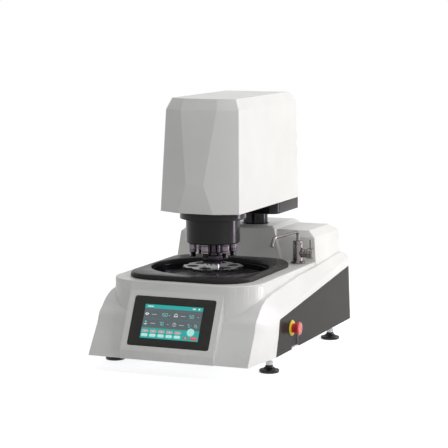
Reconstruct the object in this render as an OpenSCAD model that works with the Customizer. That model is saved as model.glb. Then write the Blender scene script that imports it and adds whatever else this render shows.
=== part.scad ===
// Bench grinder-polisher for metallographic specimens, with a powered head.
// Widths run along x from the machine's middle plane and heights along z from
// the floor. Lengths along y run from a cross line on the deck between the
// platen's axis and the tap, with the front at minus y.

/* [Body shell] */
// Height of the body's lower edge above the floor
base_gap = 38; // [36:0.5:42]
// Reach of the flank past the ridge, at the panels' lower edge
flank_out = 22; // [18:1:28]
// How far the sides lean in over their whole height
side_lean = 7.4; // [6:0.2:9]
// Width of the body's top between the deck and the ridge
ridge_margin = 10; // [8:1:13]
// Extra half width of the ridge at the front foot of the body
ridge_flare = 4; // [2:0.5:6]
// Step back from the console's foot to the nose
nose_back = 4; // [2:1:6]
// Distance from the column's axis to the rear face
rear_back = 133; // [130:1:140]
// Height of the flank ridge at the rear
ridge_z = 224; // [222:0.5:228]
// Height of the flank's outer edge at the rear
flank_z = 209.5; // [206:0.5:212]
// Wall of the moulded covers
wall = 3; // [2.4:0.2:3.6]
// Clearance between covers that meet
seam = 0.3; // [0.2:0.05:0.4]

/* [Side panels] */
// Distance from the nose to a panel's front lower corner
panel_front = 143; // [140:1:146]
// Strip of the body behind a side panel
panel_back = 5; // [5:1:9]
// Height of the panel's upper edge at the rear
panel_rear_z = 184; // [180:1:188]
// Height of the panel's upper edge at its front corner
panel_front_z = 128; // [124:1:131]
// Thickness of a side panel
panel_t = 4; // [3:0.5:5]
// Width of the recess under the stop button
notch_w = 56; // [50:1:60]
// Height of the recess under the stop button
notch_h = 38; // [34:1:40]
// Thickness of the recess's back plate
notch_back = 2; // [1.5:0.5:3]

/* [Deck and surround] */
// Width of the deck beside the surround
deck_margin = 33; // [30:1:36]
// Width of the deck in front of the surround
deck_front = 18; // [16:1:20]
// Run of the deck under the rear boxes
deck_under = 50; // [44:1:54]
// Radius of the deck's front corners
deck_r = 83; // [78:1:88]
// Height of the deck's top
deck_z = 220.6; // [219:0.2:222]
// Rounding of the deck's top edge
deck_edge = 4; // [3:0.5:5]
// Depth of the deck's outer wall
deck_skirt = 84; // [82:1:88]
// Width of the surround beside the bowl
rim_margin = 14; // [12:1:17]
// Width of the surround in front of the bowl
rim_front = 43; // [41:1:45]
// Width of the surround behind the bowl
rim_back = 50; // [47:1:51]
// Radius of the surround's corners
rim_r = 84; // [80:1:88]
// Height of the surround
rim_h = 12.4; // [11:0.2:14]
// Rounding of the surround's top edge
rim_edge = 5; // [4:0.5:6]

/* [Console] */
// Half width of the console
console_half = 124; // [122:1:127]
// Run of the sloping console from its foot to the deck
console_run = 68; // [66:1:70]
// Height of the fold where the tilted face begins
fold_z = 59.5; // [57:0.5:62]
// Tilt of the display face back from upright, in degrees
face_tilt = 26.05; // [25.6:0.05:26.4]
// Distance from the fold up the face to the display's centre
display_up = 77; // [76:0.5:79]
// Width of the black bezel
bezel_w = 215; // [212:1:220]
// Height of the black bezel
bezel_h = 126; // [123:1:128]
// Thickness of the bezel
bezel_t = 2; // [1.6:0.2:2.4]
// Radius of the bezel's corners
bezel_r = 6; // [4:0.5:8]
// Width of the lit screen
screen_w = 154.1; // [153:0.1:156]
// Height of the lit screen
screen_h = 86; // [85:0.5:88]
// Depth of the display module behind the face
module_t = 11; // [9:0.5:12]

/* [Bowl and platen] */
// Platen axis
platen_y = -55; // [-57:1:-53]
// Radius of the working disc
disc_r = 125; // [124:0.5:126]
// Thickness of the magnetic disc
disc_t = 2; // [1.6:0.2:2.4]
// Height of the working surface
disc_top = 210; // [209:0.5:211]
// Thickness of the platen under the disc
platen_t = 12; // [11:0.5:13]
// Width of the bowl around the working disc
bowl_margin = 25; // [24:0.5:26]
// Wall of the bowl
bowl_wall = 3; // [2.5:0.25:3.5]
// Height of the ledge around the platen
ledge_z = 205; // [204:0.5:206]
// Radial gap between the platen and the ledge
ledge_gap = 5; // [4:0.5:6]
// Height of the bowl's floor
bowl_floor = 192; // [191:0.5:193]
// Radius of the platen spindle
spindle_r = 12.5; // [12:0.25:13]
// Radius of the drain pipe
drain_r = 14; // [13:0.5:15]
// Bore of the drain pipe
drain_bore = 11; // [10:0.5:12]
// Distance of the drain's axis inside the disc's edge
drain_in = 20; // [18:1:22]
// Height of the drain pipe's run to the rear
drain_z = 142; // [140:1:146]
// Length of the drain spigot behind the rear face
spigot_l = 20; // [18:1:24]

/* [Platen drive] */
// Thickness of the chassis plate
plate_t = 4; // [3:0.5:5]
// Height of the drive bridge's upper face
bridge_z = 124; // [122:1:126]
// Thickness of the drive bridge
bridge_t = 6; // [5:0.5:8]
// Radius of the driven pulley
big_pulley_r = 60; // [56:1:62]
// Radius of the motor pulley
small_pulley_r = 30; // [26:1:32]
// Height of both pulleys
pulley_h = 20; // [18:1:22]
// Height of the pulleys' lower faces
pulley_z = 86; // [84:1:90]
// Thickness of the belt
belt_t = 3; // [2:0.5:4]
// Width of the belt
belt_w = 14; // [12:1:16]
// Distance of the motor's axis before the column's
motor_front = 107; // [104:1:110]
// Radius of the motor
motor_r = 52; // [48:1:53]
// Length of the motor
motor_l = 74; // [70:1:78]
// Radius of the motor shaft
shaft_r = 9.5; // [8:0.5:10]

/* [Feet] */
// Distance of a foot's axis inside the flank
foot_in = 20; // [19:1:23]
// Distance of the front feet behind the nose
foot_front = 149; // [146:1:152]
// Distance of the rear feet before the rear face
foot_back = 115.5; // [112:0.5:119]
// Radius of a foot
foot_r = 25; // [22:0.5:27]
// Thickness of a foot's rubber disc
foot_t = 8; // [7:0.5:9]
// Radius of a foot's stud
stud_r = 6; // [5:0.5:6.5]

/* [Stop button] */
// Distance of the stop button before the platen's axis
stop_front = 16; // [13:1:18]
// Height of the stop button
stop_z = 92; // [90:0.5:94]
// Radius of the yellow ring plate
stop_plate_r = 20; // [19:0.5:21]
// Radius of the red mushroom
stop_r = 16.5; // [15:0.5:18]
// Distance of the mushroom's face from the side panel
stop_reach = 27.4; // [26:0.2:29]
// Travel of the stop button
stop_travel = 4.5; // [4:0.1:4.6]

/* [Tap] */
// Distance of the tap's axis inside the deck's edge
tap_in = 35.4; // [34:0.2:37]
// Distance of the tap's axis behind the surround
tap_back = 7.7; // [6.7:0.5:9.7]
// Radius of the tap's body
tap_r = 13.5; // [12.5:0.5:14]
// Height of the tap's body above the deck
tap_h = 59.4; // [57:0.2:62]
// Radius of the spout pipe
spout_r = 4.5; // [4:0.25:5]
// Height of the spout above the deck at its bend
spout_z = 84.4; // [82:0.2:87]
// Reach of the spout
spout_reach = 118; // [114:1:122]
// Drop of the spout's end
spout_drop = 24; // [20:1:28]
// Height of the lever's axis above the deck
lever_z = 27.4; // [26:0.2:28]
// Length of the lever's pin above its hub
lever_l = 23; // [20:0.5:26]

/* [Rear housings] */
// Height of the column housing
mast_z = 307; // [305:0.5:309]
// Half width of the column housing's top
mast_half = 66; // [64:0.5:68]
// Spread of the column housing's foot past its top
mast_spread = 47; // [44:1:49]
// Height of the side boxes
box_z = 300; // [298:0.5:302]
// Lean of a side box's outer face
box_lean = 29; // [27:1:31]
// Distance of a side box's foot inside the ridge
box_in = 6; // [5:0.5:8]

/* [Column] */
// Distance of the column's axis behind the column housing's foot
column_back = 99; // [97:0.5:101]
// Radius of the column
column_r = 33; // [32:0.5:34]
// Wall of the column
column_wall = 6; // [5:0.5:7]
// Height of the column's top
column_top = 452; // [446:1:458]
// Length of the column that stays in its guide when the head is up
column_hold = 131.7; // [120:0.1:140]
// Radius of the guide tube around the column
guide_r = 45; // [42:0.5:47]
// Radius of the lift cylinder inside the column
ram_r = 21; // [20:0.5:22]
// Radius of the lift cylinder's rod
rod_r = 7; // [6:0.5:8]
// Travel of the head's lift
lift_travel = 60; // [50:1:64]

/* [Head] */
// Distance of the head's axis behind the platen's
head_back = 17; // [15:0.5:19]
// Height of the head cover's lower edge
head_z = 377.5; // [376:0.5:379]
// Height of the cover's shoulder, where its top chamfer begins
shoulder_z = 633.4; // [630:0.2:636]
// Height of the cover's top
crown_z = 662; // [659:0.5:665]
// Height of the narrow waist in the cover's front
waist_z = 451; // [448:0.5:454]
// Half width of the cover at its lower edge
head_half = 107.3; // [105:0.1:109]
// Lean of the head cover's side up to its shoulder
head_lean = 8.5; // [7.5:0.1:9.5]
// Width of the top chamfer
crown_in = 12; // [10:0.5:14]
// Reach of the head cover behind the column's axis
head_rear = 43; // [41:0.5:46]
// Height of the dark arm plate
arm_h = 30; // [28:0.5:32]
// Reach of the arm plate before the column's axis
arm_front = 123; // [120:1:126]
// Radius of the arm plate's front corners
arm_r = 24; // [20:1:28]
// Thickness of the head's carrier plate
carrier_t = 8; // [6:0.5:10]

/* [Specimen mover] */
// Reach of the bearing flange past the drum
flange_margin = 15.6; // [14:0.2:17]
// Height of the bearing flange
flange_h = 22.5; // [21:0.5:24]
// Wall of the drum outside the pushers
drum_wall = 7.7; // [6.5:0.1:8.7]
// Height of the drum
drum_h = 62; // [60:0.5:63]
// Radius of the circle of pushers
pusher_pcd_r = 51.5; // [51:0.25:52]
// Radius of a pusher's body
pusher_r = 10; // [9.5:0.25:10.5]
// Radius of a pusher's foot
pusher_foot_r = 7.5; // [7:0.25:8]
// Length of a pusher's body below the drum
pusher_drop = 24; // [22:0.5:25]
// Length of a pusher's foot
pusher_foot_l = 13.5; // [12:0.5:14]
// Travel of a pusher
pusher_travel = 18; // [14:0.5:18]
// Radius of the head spindle's lower collar
collar_r = 22.5; // [22:0.25:23]
// Radius of the quick coupling's sleeve
sleeve_r = 28.5; // [27.5:0.25:29.5]
// Height of the quick coupling's sleeve
sleeve_h = 28; // [26:0.5:29]
// Travel of the sleeve when the holder is released
sleeve_travel = 6; // [5:0.5:7]
// Radius of the head spindle
mover_r = 12; // [11:0.5:13]
// Rim of the holder outside the specimen holes
holder_rim = 8.5; // [7:0.5:9.5]
// Thickness of the specimen holder
holder_t = 7; // [6:0.5:8]
// Height of the specimen holder's top
holder_top = 232; // [231:0.5:233]
// Radius of the specimen holes
specimen_r = 15; // [14:0.5:15.5]
// Height of the holder's hub
holder_hub_h = 8; // [7:0.5:9]
// Radius of the holder's hub
holder_hub_r = 19; // [18:0.5:20]

/* [Hidden] */
$fn = 64;

// Overrun of cuts, and radial running clearance of shafts and slides
over = 1;
run_fit = 0.08;

// Half widths, each carried out from the working disc by the margins above
bowl_r = disc_r + bowl_margin;
rim_half = bowl_r + rim_margin;
deck_half = rim_half + deck_margin;
ridge_half = deck_half + ridge_margin;
side_half = ridge_half + flank_out;
foot_x = side_half - foot_in;
foot_over = foot_x + foot_r;
drain_x = -(disc_r - drain_in);
tap_x = deck_half - tap_in;
box_foot_half = ridge_half - box_in;
box_half = box_foot_half - box_lean;
mast_foot_half = mast_half + mast_spread;
shoulder_half = head_half - head_lean;
drum_r = pusher_pcd_r + pusher_r + drum_wall;
flange_r = drum_r + flange_margin;
holder_r = pusher_pcd_r + specimen_r + holder_rim;

// Places along y, carried forward and back from the platen's axis
rim_front_y = platen_y - bowl_r - rim_front;
rim_rear_y = platen_y + bowl_r + rim_back;
deck_front_y = rim_front_y - deck_front;
console_y = deck_front_y - console_run;
nose_y = console_y + nose_back;
mast_foot_back = 18;
mast_foot_y = rim_rear_y + mast_foot_back;
column_y = mast_foot_y + column_back;
box_foot_back = 23;
box_front_y = mast_foot_y + box_foot_back;
deck_rear_y = box_front_y + deck_under;
rear_y = column_y + rear_back;
motor_y = column_y - motor_front;
panel_front_y = nose_y + panel_front;
panel_rear_y = rear_y - panel_back;
foot_front_y = nose_y + foot_front;
foot_rear_y = rear_y - foot_back;
stop_y = platen_y - stop_front;
tap_y = rim_rear_y + tap_back;
head_y = platen_y + head_back;
head_rear_y = column_y + head_rear;
arm_front_y = column_y - arm_front;

// Middle of the machine's box, its stop button and its rear stubs included
mid_x = (side_half + stop_reach - foot_over) / 2;
mid_y = (console_y + rear_y + spigot_l) / 2;
body_d = rear_y - nose_y;
body_h = ridge_z - base_gap;

// Side view of the flank ridge, as shares of the body's depth and height
ridge_shares = [[0, 0], [0.015, 0.097], [0.065, 0.392], [0.079, 0.522], [0.108, 0.618],
  [0.13, 0.694], [0.174, 0.774], [0.204, 0.796], [0.232, 0.815], [0.514, 0.909],
  [0.696, 0.935], [0.97, 1], [1, 0.984], [1, 0]];
// Side view of the flank's outer edge, as shares of the body's depth and of its height
// at the rear outer edge
flank_shares = [[0.179, 0], [0.192, 0.117], [0.206, 0.268], [0.219, 0.42], [0.226, 0.49],
  [0.235, 0.542], [0.247, 0.577], [0.261, 0.595], [0.279, 0.61], [0.514, 0.746],
  [0.696, 0.84], [0.97, 0.991], [1, 1], [1, 0]];
flank_h = flank_z - base_gap;
nose_spans = 8;
nose_steps = 3;
corner_steps = 3;

// Smooth curve through the first spans + 1 points of a list, the others kept as they are
function bend(a, b, c, d, t) = (2 * b + (c - a) * t + (2 * a - 5 * b + 4 * c - d) * pow(t, 2)
  + (3 * b - a - 3 * c + d) * pow(t, 3)) / 2;
function curve(p, spans, steps) = concat([for (i = [0 : spans - 1]) for (k = [0 : steps - 1])
  bend(p[max(i - 1, 0)], p[i], p[i + 1], p[min(i + 2, spans)], k / steps)],
  [for (i = [spans : len(p) - 1]) p[i]]);
ridge_pts = curve([for (s = ridge_shares) [nose_y + s[0] * body_d, base_gap + s[1] * body_h]],
  nose_spans, nose_steps);
flank_pts = curve([for (s = flank_shares) [nose_y + s[0] * body_d, base_gap + s[1] * flank_h]],
  nose_spans, nose_steps);

// Outline of a side panel: front corner as shares of the step from foot to upper edge
panel_h = panel_front_z - base_gap;
corner_shares = [[0, 0], [0.37, 0.467], [0.6, 0.9], [0.73, 0.985], [1, 1]];
corner_run = 55;
panel_pts = concat(curve([for (s = corner_shares) [panel_front_y + s[0] * corner_run,
  base_gap + s[1] * panel_h]], len(corner_shares) - 1, corner_steps),
  [[panel_rear_y, panel_rear_z], [panel_rear_y, base_gap]]);

// Heights and places that follow from the sizes above
fold_to_deck = (deck_front_y - console_y) / sin(face_tilt);
face_top_z = fold_z + fold_to_deck * cos(face_tilt);
platen_top = disc_top - disc_t;
platen_low = platen_top - platen_t;
bowl_low = bowl_floor - bowl_wall;
plate_top = base_gap + plate_t;
bridge_low = bridge_z - bridge_t;
arm_z = head_z - arm_h;
flange_z = head_z - flange_h;
drum_z = flange_z - drum_h;
pusher_z = drum_z - pusher_drop;
sleeve_z = holder_top + holder_hub_h;
carrier_top = head_z + carrier_t;
belt_gap = 0.3;

module place() translate([-mid_x, -mid_y, 0]) children();
module at(x, y, z) translate([x, y, z]) children();

// Cylinder along z, and the same lying along x or y
module post(r, h) cylinder(r = r, h = h);
module post_x(r, l) rotate([0, 90, 0]) cylinder(r = r, h = l);
module post_y(r, l) rotate([-90, 0, 0]) cylinder(r = r, h = l);
module tube(r, bore, h) difference() {
  post(r, h);
  translate([0, 0, -over]) post(bore, h + 2 * over);
}
module block(x0, x1, y0, y1, z0, z1) translate([x0, y0, z0]) cube([x1 - x0, y1 - y0, z1 - z0]);
// Outline in y and z, drawn out to both sides of the middle plane
module prism_x(pts, half) rotate([90, 0, 90]) translate([0, 0, -half])
  linear_extrude(2 * half) polygon(pts);

// Rounded rectangle from x -half to half and y y0 to y1
module rounded(half, y0, y1, r_front, r_rear) {
  square_y0 = y0 + r_front;
  square_y1 = y1 - r_rear;
  translate([-half, square_y0]) square([2 * half, square_y1 - square_y0]);
  translate([-half + r_front, y0]) square([2 * (half - r_front), r_front]);
  for (s = [-1, 1]) translate([s * (half - r_front), square_y0]) circle(r_front);
  if (r_rear > 0) {
    translate([-half + r_rear, square_y1]) square([2 * (half - r_rear), r_rear]);
    for (s = [-1, 1]) translate([s * (half - r_rear), square_y1]) circle(r_rear);
  }
}

// Solid through a list of rings that all have the same number of points
module loft(rings) {
  n = len(rings[0]);
  m = len(rings);
  points = [for (ring = rings) for (p = ring) p];
  sides = [for (i = [0 : m - 2]) for (j = [0 : n - 1]) for (t = [0, 1])
    let (a = i * n + j, b = i * n + (j + 1) % n) t == 0 ? [a, b, a + n] : [b, b + n, a + n]];
  first = [for (j = [n - 1 : -1 : 0]) j];
  last = [for (j = [0 : n - 1]) (m - 1) * n + j];
  polyhedron(points, concat(sides, [first, last]), convexity = 6);
}

// Outline moved inwards by t, for outlines that run clockwise
function unit(v) = v / norm(v);
function inset(p, t) = [for (i = [0 : len(p) - 1])
  let (n = len(p), u = unit(p[i] - p[(i + n - 1) % n]), v = unit(p[(i + 1) % n] - p[i]),
    nu = [u.y, -u.x], nv = [v.y, -v.x]) p[i] + t * (nu + nv) / (1 + nu * nv)];
function lowered(p, t) = [for (i = [0 : len(p) - 1]) p[i].y > base_gap ? p[i]
  : i > 0 ? [p[i].x, p[i].y - t] : p[0] - (p[1] - p[0]) * t / (p[1].y - p[0].y)];
function side_x(z) = side_half - (z - base_gap) / body_h * side_lean;
function ridge_x(z) = ridge_half + ridge_flare * (1 - (z - base_gap) / body_h);

// Body form, moved inwards by t and drawn down by drop
module body_form(t = 0, drop = 0) {
  ridge = inset(lowered(ridge_pts, drop), t);
  flank = inset(lowered(flank_pts, drop), t);
  loft([[for (p = flank) [-side_x(p.y) + t, p.x, p.y]],
    [for (p = ridge) [-ridge_x(p.y) + t, p.x, p.y]],
    [for (p = ridge) [ridge_x(p.y) - t, p.x, p.y]],
    [for (p = flank) [side_x(p.y) - t, p.x, p.y]]]);
}
// Side panel's solid between two depths under the body's side
module panel_form(side, out, deep, grow) {
  pts = inset(lowered(panel_pts, out > 0 ? over : 0), -grow);
  reach = side > 0 ? [-deep, out] : [out, -deep];
  loft([for (r = reach) [for (p = pts) [side * (side_x(p.y) + r), p.x, p.y]]]);
}
module deck_form(t = 0, open = 0) at(0, 0, deck_z - deck_skirt) {
  h = deck_skirt - t;
  linear_extrude(h - deck_edge)
    rounded(deck_half - t, deck_front_y + t, deck_rear_y + open, deck_r - t, 0);
}
// Console's outline in y and z, its walls moved inwards by t
function console_pts(t) = [[console_y + t, base_gap - t], [console_y + t, fold_z],
  [deck_front_y, face_top_z - t / sin(face_tilt)], [deck_front_y, deck_z - deck_skirt],
  [console_y + console_back, base_gap - t]];
console_back = 30;
module on_face() at(0, console_y + display_up * sin(face_tilt),
  fold_z + display_up * cos(face_tilt)) rotate([90 - face_tilt, 0, 0]) children();
module face_plate(w, h, r) {
  square([w - 2 * r, h], center = true);
  square([w, h - 2 * r], center = true);
  for (x = [-1, 1]) for (y = [-1, 1])
    translate([x * (w / 2 - r), y * (h / 2 - r)]) circle(r);
}

// Column housing and side boxes as lofts through rings [half widths, front, rear, z]
mast_sink = 24;
mast_bevel = 6;
mast_low = ridge_z - mast_sink;
mast_chin_z = mast_z - mast_bevel;
mast_chin_back = 32;
mast_front_back = 51;
mast_chin_y = mast_foot_y + mast_chin_back;
mast_front_y = mast_foot_y + mast_front_back;
function box_ring(x0, x1, y0, y1, z) = [[x0, y0, z], [x0, y1, z], [x1, y1, z], [x1, y0, z]];
module mast_form(t = 0) loft([
  box_ring(t - mast_foot_half, mast_foot_half - t, mast_foot_y + t, rear_y - t,
    mast_low - (t > 0 ? over : 0)),
  box_ring(t - mast_chin_half, mast_chin_half - t, mast_chin_y + t, rear_y - t, mast_chin_z - t),
  box_ring(t - mast_half, mast_half - t, mast_front_y + t, rear_y - mast_round - t, mast_z - t)]);
mast_chin_out = 14;
mast_chin_half = mast_half + mast_chin_out;
mast_round = 7;
box_cover = 6;
box_inner = mast_half - box_cover;
box_brow_back = 34;
box_top_back = 48;
box_brow_y = mast_foot_y + box_brow_back;
box_top_y = mast_foot_y + box_top_back;
box_brow_out = 20;
box_brow_half = box_half + box_brow_out;
box_brow_drop = 17;
box_brow_z = box_z - box_brow_drop;
box_round = 27;
module box_form(t = 0) loft([
  box_ring(box_inner + t, box_foot_half - t, box_front_y + t, rear_y - t, mast_low - (t > 0 ? over : 0)),
  box_ring(box_inner + t, box_brow_half - t, box_brow_y + t, rear_y - t, box_brow_z - t / 2),
  box_ring(box_inner + t, box_half - t, box_top_y + t, rear_y - box_round - t, box_z - t)]);

// Head cover's plan at a height: half width, front corner, strip half width, strip front
corner_front = 86.6;
shoulder_front = 69.7;
crown_front = 58;
corner_y = head_y - corner_front;
shoulder_y = head_y - shoulder_front;
crown_y = head_y - crown_front;
strip_shares = [0.438, 0.224, 0.452, 0.42];
strip_fronts = [115, 120.5, 93, 80.5];
strip_y = [for (d = strip_fronts) head_y - d];
function head_x(z) = z <= shoulder_z
  ? head_half + (shoulder_half - head_half) * (z - head_z) / (shoulder_z - head_z)
  : shoulder_half - crown_in * (z - shoulder_z) / (crown_z - shoulder_z);
function head_corner(z) = z <= shoulder_z
  ? corner_y + (shoulder_y - corner_y) * (z - head_z) / (shoulder_z - head_z)
  : shoulder_y + (crown_y - shoulder_y) * (z - shoulder_z) / (crown_z - shoulder_z);
function head_ring(half, corner, strip, front, rear, t) = inset([[-half, rear], [half, rear],
  [half, corner], [strip, front], [-strip, front], [-half, corner]], t);
function head_plan(z, i, t) = head_ring(head_x(z), head_corner(z), strip_shares[i] * head_half,
  strip_y[i], head_rear_y, t);
// The crown's chamfers rise straight while its rear edge is rounded over
function mixed(a, b, s) = a + s * (b - a);
function crown_plan(s, t) = head_ring(shoulder_half - crown_in * s, mixed(shoulder_y, crown_y, s),
  head_half * mixed(strip_shares[2], strip_shares[3], s), mixed(strip_y[2], strip_y[3], s),
  head_rear_y - crown_rear * (1 - sqrt(1 - pow(s, 2))), t);
crown_shares = [0.3, 0.55, 0.75, 0.9, 1];
function lift_ring(plan, z) = [for (p = plan) [p.x, p.y, z]];
crown_rear = 38;
module head_form(t = 0, drop = 0) loft(concat([
  lift_ring(head_plan(head_z, 0, t), head_z - drop),
  lift_ring(head_plan(waist_z, 1, t), waist_z),
  lift_ring(head_plan(shoulder_z, 2, t), shoulder_z - t / 2)],
  [for (s = crown_shares) lift_ring(crown_plan(s, t), mixed(shoulder_z, crown_z, s) - t)]));

// Chassis

leg_w = 20;
leg_in = 30;
leg_x = bowl_r - leg_in;
leg_y = [-130, 170];
boss_r = 12;
boss_h = 18;
bridge_margin = 10;
function tray_pts() = [[-tray_nose_x, tray_front_y], [tray_nose_x, tray_front_y],
  [tray_x, flank_pts[0].x + ridge_flare], [tray_x, rear_y - wall - seam],
  [-tray_x, rear_y - wall - seam], [-tray_x, flank_pts[0].x + ridge_flare]];
tray_x = side_half - panel_t - 2 * seam;
tray_nose_x = ridge_half + ridge_flare / 2;
tray_front_y = console_y + console_back + wall;
module feet_places() for (x = [-1, 1]) for (y = [foot_front_y, foot_rear_y])
  at(x * foot_x, y, 0) children();
module base_frame() place() color("gainsboro") difference() {
  union() {
    at(0, 0, base_gap) linear_extrude(plate_t) polygon(tray_pts());
    feet_places() at(0, 0, base_gap) post(boss_r, plate_t + boss_h);
    for (x = [-1, 1]) for (y = leg_y)
      block(x * leg_x - leg_w / 2, x * leg_x + leg_w / 2, y, y + leg_w, plate_top, bridge_low);
    block(-leg_x - bridge_margin, leg_x + bridge_margin, leg_y[0], leg_y[1] + leg_w,
      bridge_low, bridge_z);
  }
  feet_places() at(0, 0, base_gap - over) post(stud_r + run_fit, plate_t + boss_h + 2 * over);
  at(0, platen_y, bridge_low - over) post(housing_bore + bridge_t, bridge_t + 2 * over);
  at(0, motor_y, bridge_low - over) post(shaft_r + bridge_t, bridge_t + 2 * over);
}

// Covers

module body_cover() place() color("whitesmoke") difference() {
  body_form();
  body_form(wall, wall + over);
  at(0, 0, 0) deck_form();
  at(0, 0, deck_z - deck_edge - over) linear_extrude(deck_edge + 2 * over)
    rounded(deck_half, deck_front_y, deck_rear_y, deck_r, 0);
  prism_x(concat([[console_y - over, base_gap - over]], console_pts(0)), console_half);
  for (s = [-1, 1]) panel_form(s, over, wall + over, seam);
  mast_form();
  for (s = [0, 1]) mirror([s, 0, 0]) box_form();
  block(-hatch_half, hatch_half, rear_y - wall - over, rear_y + over, hatch_low, hatch_top);
}
hatch_in = 27;
hatch_half = ridge_half - hatch_in;
hatch_low = 50;
hatch_top = 188;

module side_panel(side) panel_form(side, 0, panel_t, 0);
module side_panel_left() place() color("dimgray") side_panel(-1);
notch_front = 4;
notch_y0 = stop_y - notch_front;
notch_top = base_gap + notch_h;
module side_panel_right() place() color("dimgray") {
  difference() {
    side_panel(1);
    block(side_half - side_lean - panel_t - over, side_half + over, notch_y0,
      notch_y0 + notch_w, base_gap - over, notch_top);
    at(side_half - side_lean - panel_t - over, stop_y, stop_z)
      post_x(stop_neck_r + seam, side_lean + panel_t + 2 * over);
  }
  notch_x = side_x(notch_top) - panel_t;
  block(notch_x - notch_back, notch_x, notch_y0 - notch_back, notch_y0 + notch_w + notch_back,
    plate_top + seam, notch_top + notch_back);
}

module deck() place() color("whitesmoke") difference() {
  union() {
    deck_form();
    at(0, 0, deck_z - deck_edge) hull() {
      linear_extrude(deck_edge / 2)
        rounded(deck_half, deck_front_y, deck_rear_y, deck_r, 0, $fn = 48);
      linear_extrude(deck_edge)
        rounded(deck_half - deck_edge / 2, deck_front_y + deck_edge / 2, deck_rear_y,
          deck_r - deck_edge / 2, 0, $fn = 48);
    }
  }
  translate([0, 0, -over]) deck_form(wall, over);
  at(0, 0, deck_z - deck_edge - wall - 2 * over) linear_extrude(deck_edge + 2 * over)
    rounded(deck_half - deck_edge, deck_front_y + deck_edge, deck_rear_y - wall,
      deck_r - deck_edge, 0);
  at(0, platen_y, deck_z - wall - over) post(bowl_r + bowl_wall + seam, wall + 2 * over);
  at(tap_x, tap_y, deck_z - wall - over) post(shank_r + seam, wall + 2 * over);
  mast_form();
  for (s = [0, 1]) mirror([s, 0, 0]) box_form();
}

module console_frame() place() color("whitesmoke") difference() {
  prism_x(console_pts(0), console_half);
  translate([0, over, 0]) prism_x(console_pts(wall), console_half - wall);
  on_face() at(0, 0, -bezel_t) linear_extrude(bezel_t + over)
    face_plate(bezel_w + 2 * seam, bezel_h + 2 * seam, bezel_r);
  on_face() at(0, 0, -wall - over - module_t) linear_extrude(wall + module_t + 2 * over)
    square([back_w + 2 * seam, back_h + 2 * seam], center = true);
}
module_margin = 13;
back_w = screen_w + 2 * module_margin;
back_h = screen_h + bezel_r;
module display_bezel() place() color("#33322f") on_face() difference() {
  at(0, 0, -bezel_t) linear_extrude(bezel_t) face_plate(bezel_w, bezel_h, bezel_r);
  at(0, 0, -bezel_t - over) linear_extrude(bezel_t + 2 * over)
    square([screen_w, screen_h], center = true);
}
module touch_screen() place() color("darkcyan") on_face() {
  at(0, 0, -bezel_t) linear_extrude(bezel_t - seam) square([screen_w, screen_h], center = true);
  at(0, 0, -bezel_t - module_t) linear_extrude(module_t) square([back_w, back_h], center = true);
}

// Surround, bowl and platen

bowl_flange = 6;
bowl_flange_t = 2.4;
module bowl_surround() place() color("#201e24") difference() {
  hull() {
    at(0, 0, deck_z) linear_extrude(rim_h - rim_edge)
      rounded(rim_half, rim_front_y, rim_rear_y, rim_r, rim_r, $fn = 48);
    at(0, 0, deck_z) linear_extrude(rim_h - rim_edge / 3)
      rounded(rim_half - rim_edge / 3, rim_front_y + rim_edge / 3, rim_rear_y - rim_edge / 3,
        rim_r - rim_edge / 3, rim_r - rim_edge / 3, $fn = 48);
    at(0, 0, deck_z) linear_extrude(rim_h)
      rounded(rim_half - rim_edge, rim_front_y + rim_edge, rim_rear_y - rim_edge,
        rim_r - rim_edge, rim_r - rim_edge, $fn = 48);
  }
  at(0, platen_y, deck_z - over) post(bowl_r, rim_h + 2 * over);
  at(0, platen_y, deck_z - over) post(bowl_r + bowl_wall + bowl_flange + seam,
    bowl_flange_t + seam + over);
}
neck_r = 20;
neck_h = 3;
drain_back = 30;
drain_y = platen_y + drain_back;
module bowl() place() color("#26242a") at(0, platen_y, 0) difference() {
  rotate_extrude() polygon([
    [spindle_r + seam, bowl_low], [bowl_r + bowl_wall, bowl_low], [bowl_r + bowl_wall, deck_z],
    [bowl_r + bowl_wall + bowl_flange, deck_z],
    [bowl_r + bowl_wall + bowl_flange, deck_z + bowl_flange_t], [bowl_r, deck_z + bowl_flange_t],
    [bowl_r, ledge_z], [disc_r + ledge_gap, ledge_z], [disc_r + ledge_gap, bowl_floor],
    [neck_r, bowl_floor], [neck_r, bowl_floor + neck_h], [spindle_r + seam, bowl_floor + neck_h]]);
  at(drain_x, drain_y - platen_y, bowl_low - over) post(drain_bore, bowl_wall + 2 * over);
}
module drain_pipe() place() color("#3a3a3c") at(drain_x, drain_y, 0) difference() {
  union() {
    at(0, 0, drain_z) post(pipe_r, bowl_low - drain_z);
    at(0, 0, drain_z) sphere(pipe_r);
    at(0, 0, drain_z) post_y(pipe_r, rear_y + over - drain_y);
    at(0, rear_y - drain_y, drain_z) post_y(drain_r, spigot_l);
    at(0, rear_y - drain_y, drain_z) rotate([-90, 0, 0])
      cylinder(r = drain_r * hex_share, h = wall, $fn = 6);
  }
  at(0, 0, drain_z) post(drain_bore, bowl_low - drain_z + over);
  at(0, 0, drain_z) sphere(drain_bore);
  at(0, 0, drain_z) post_y(drain_bore, rear_y + spigot_l - drain_y + over);
}
pipe_wall = 1.5;
pipe_r = drain_bore + pipe_wall;
hex_share = 1.3;
cap_depth = 4;
module platen() place() color("silver") at(0, platen_y, platen_low) difference() {
  post(disc_r, platen_t);
  translate([0, 0, -over]) post(neck_r + cap_depth, cap_depth + over);
  translate([0, 0, -over]) post(spindle_r, platen_t - cap_depth + over);
}
module magnetic_disc() place() color("#c5cbd3") at(0, platen_y, platen_top)
  post(disc_r, disc_t);

// Platen drive

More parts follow.
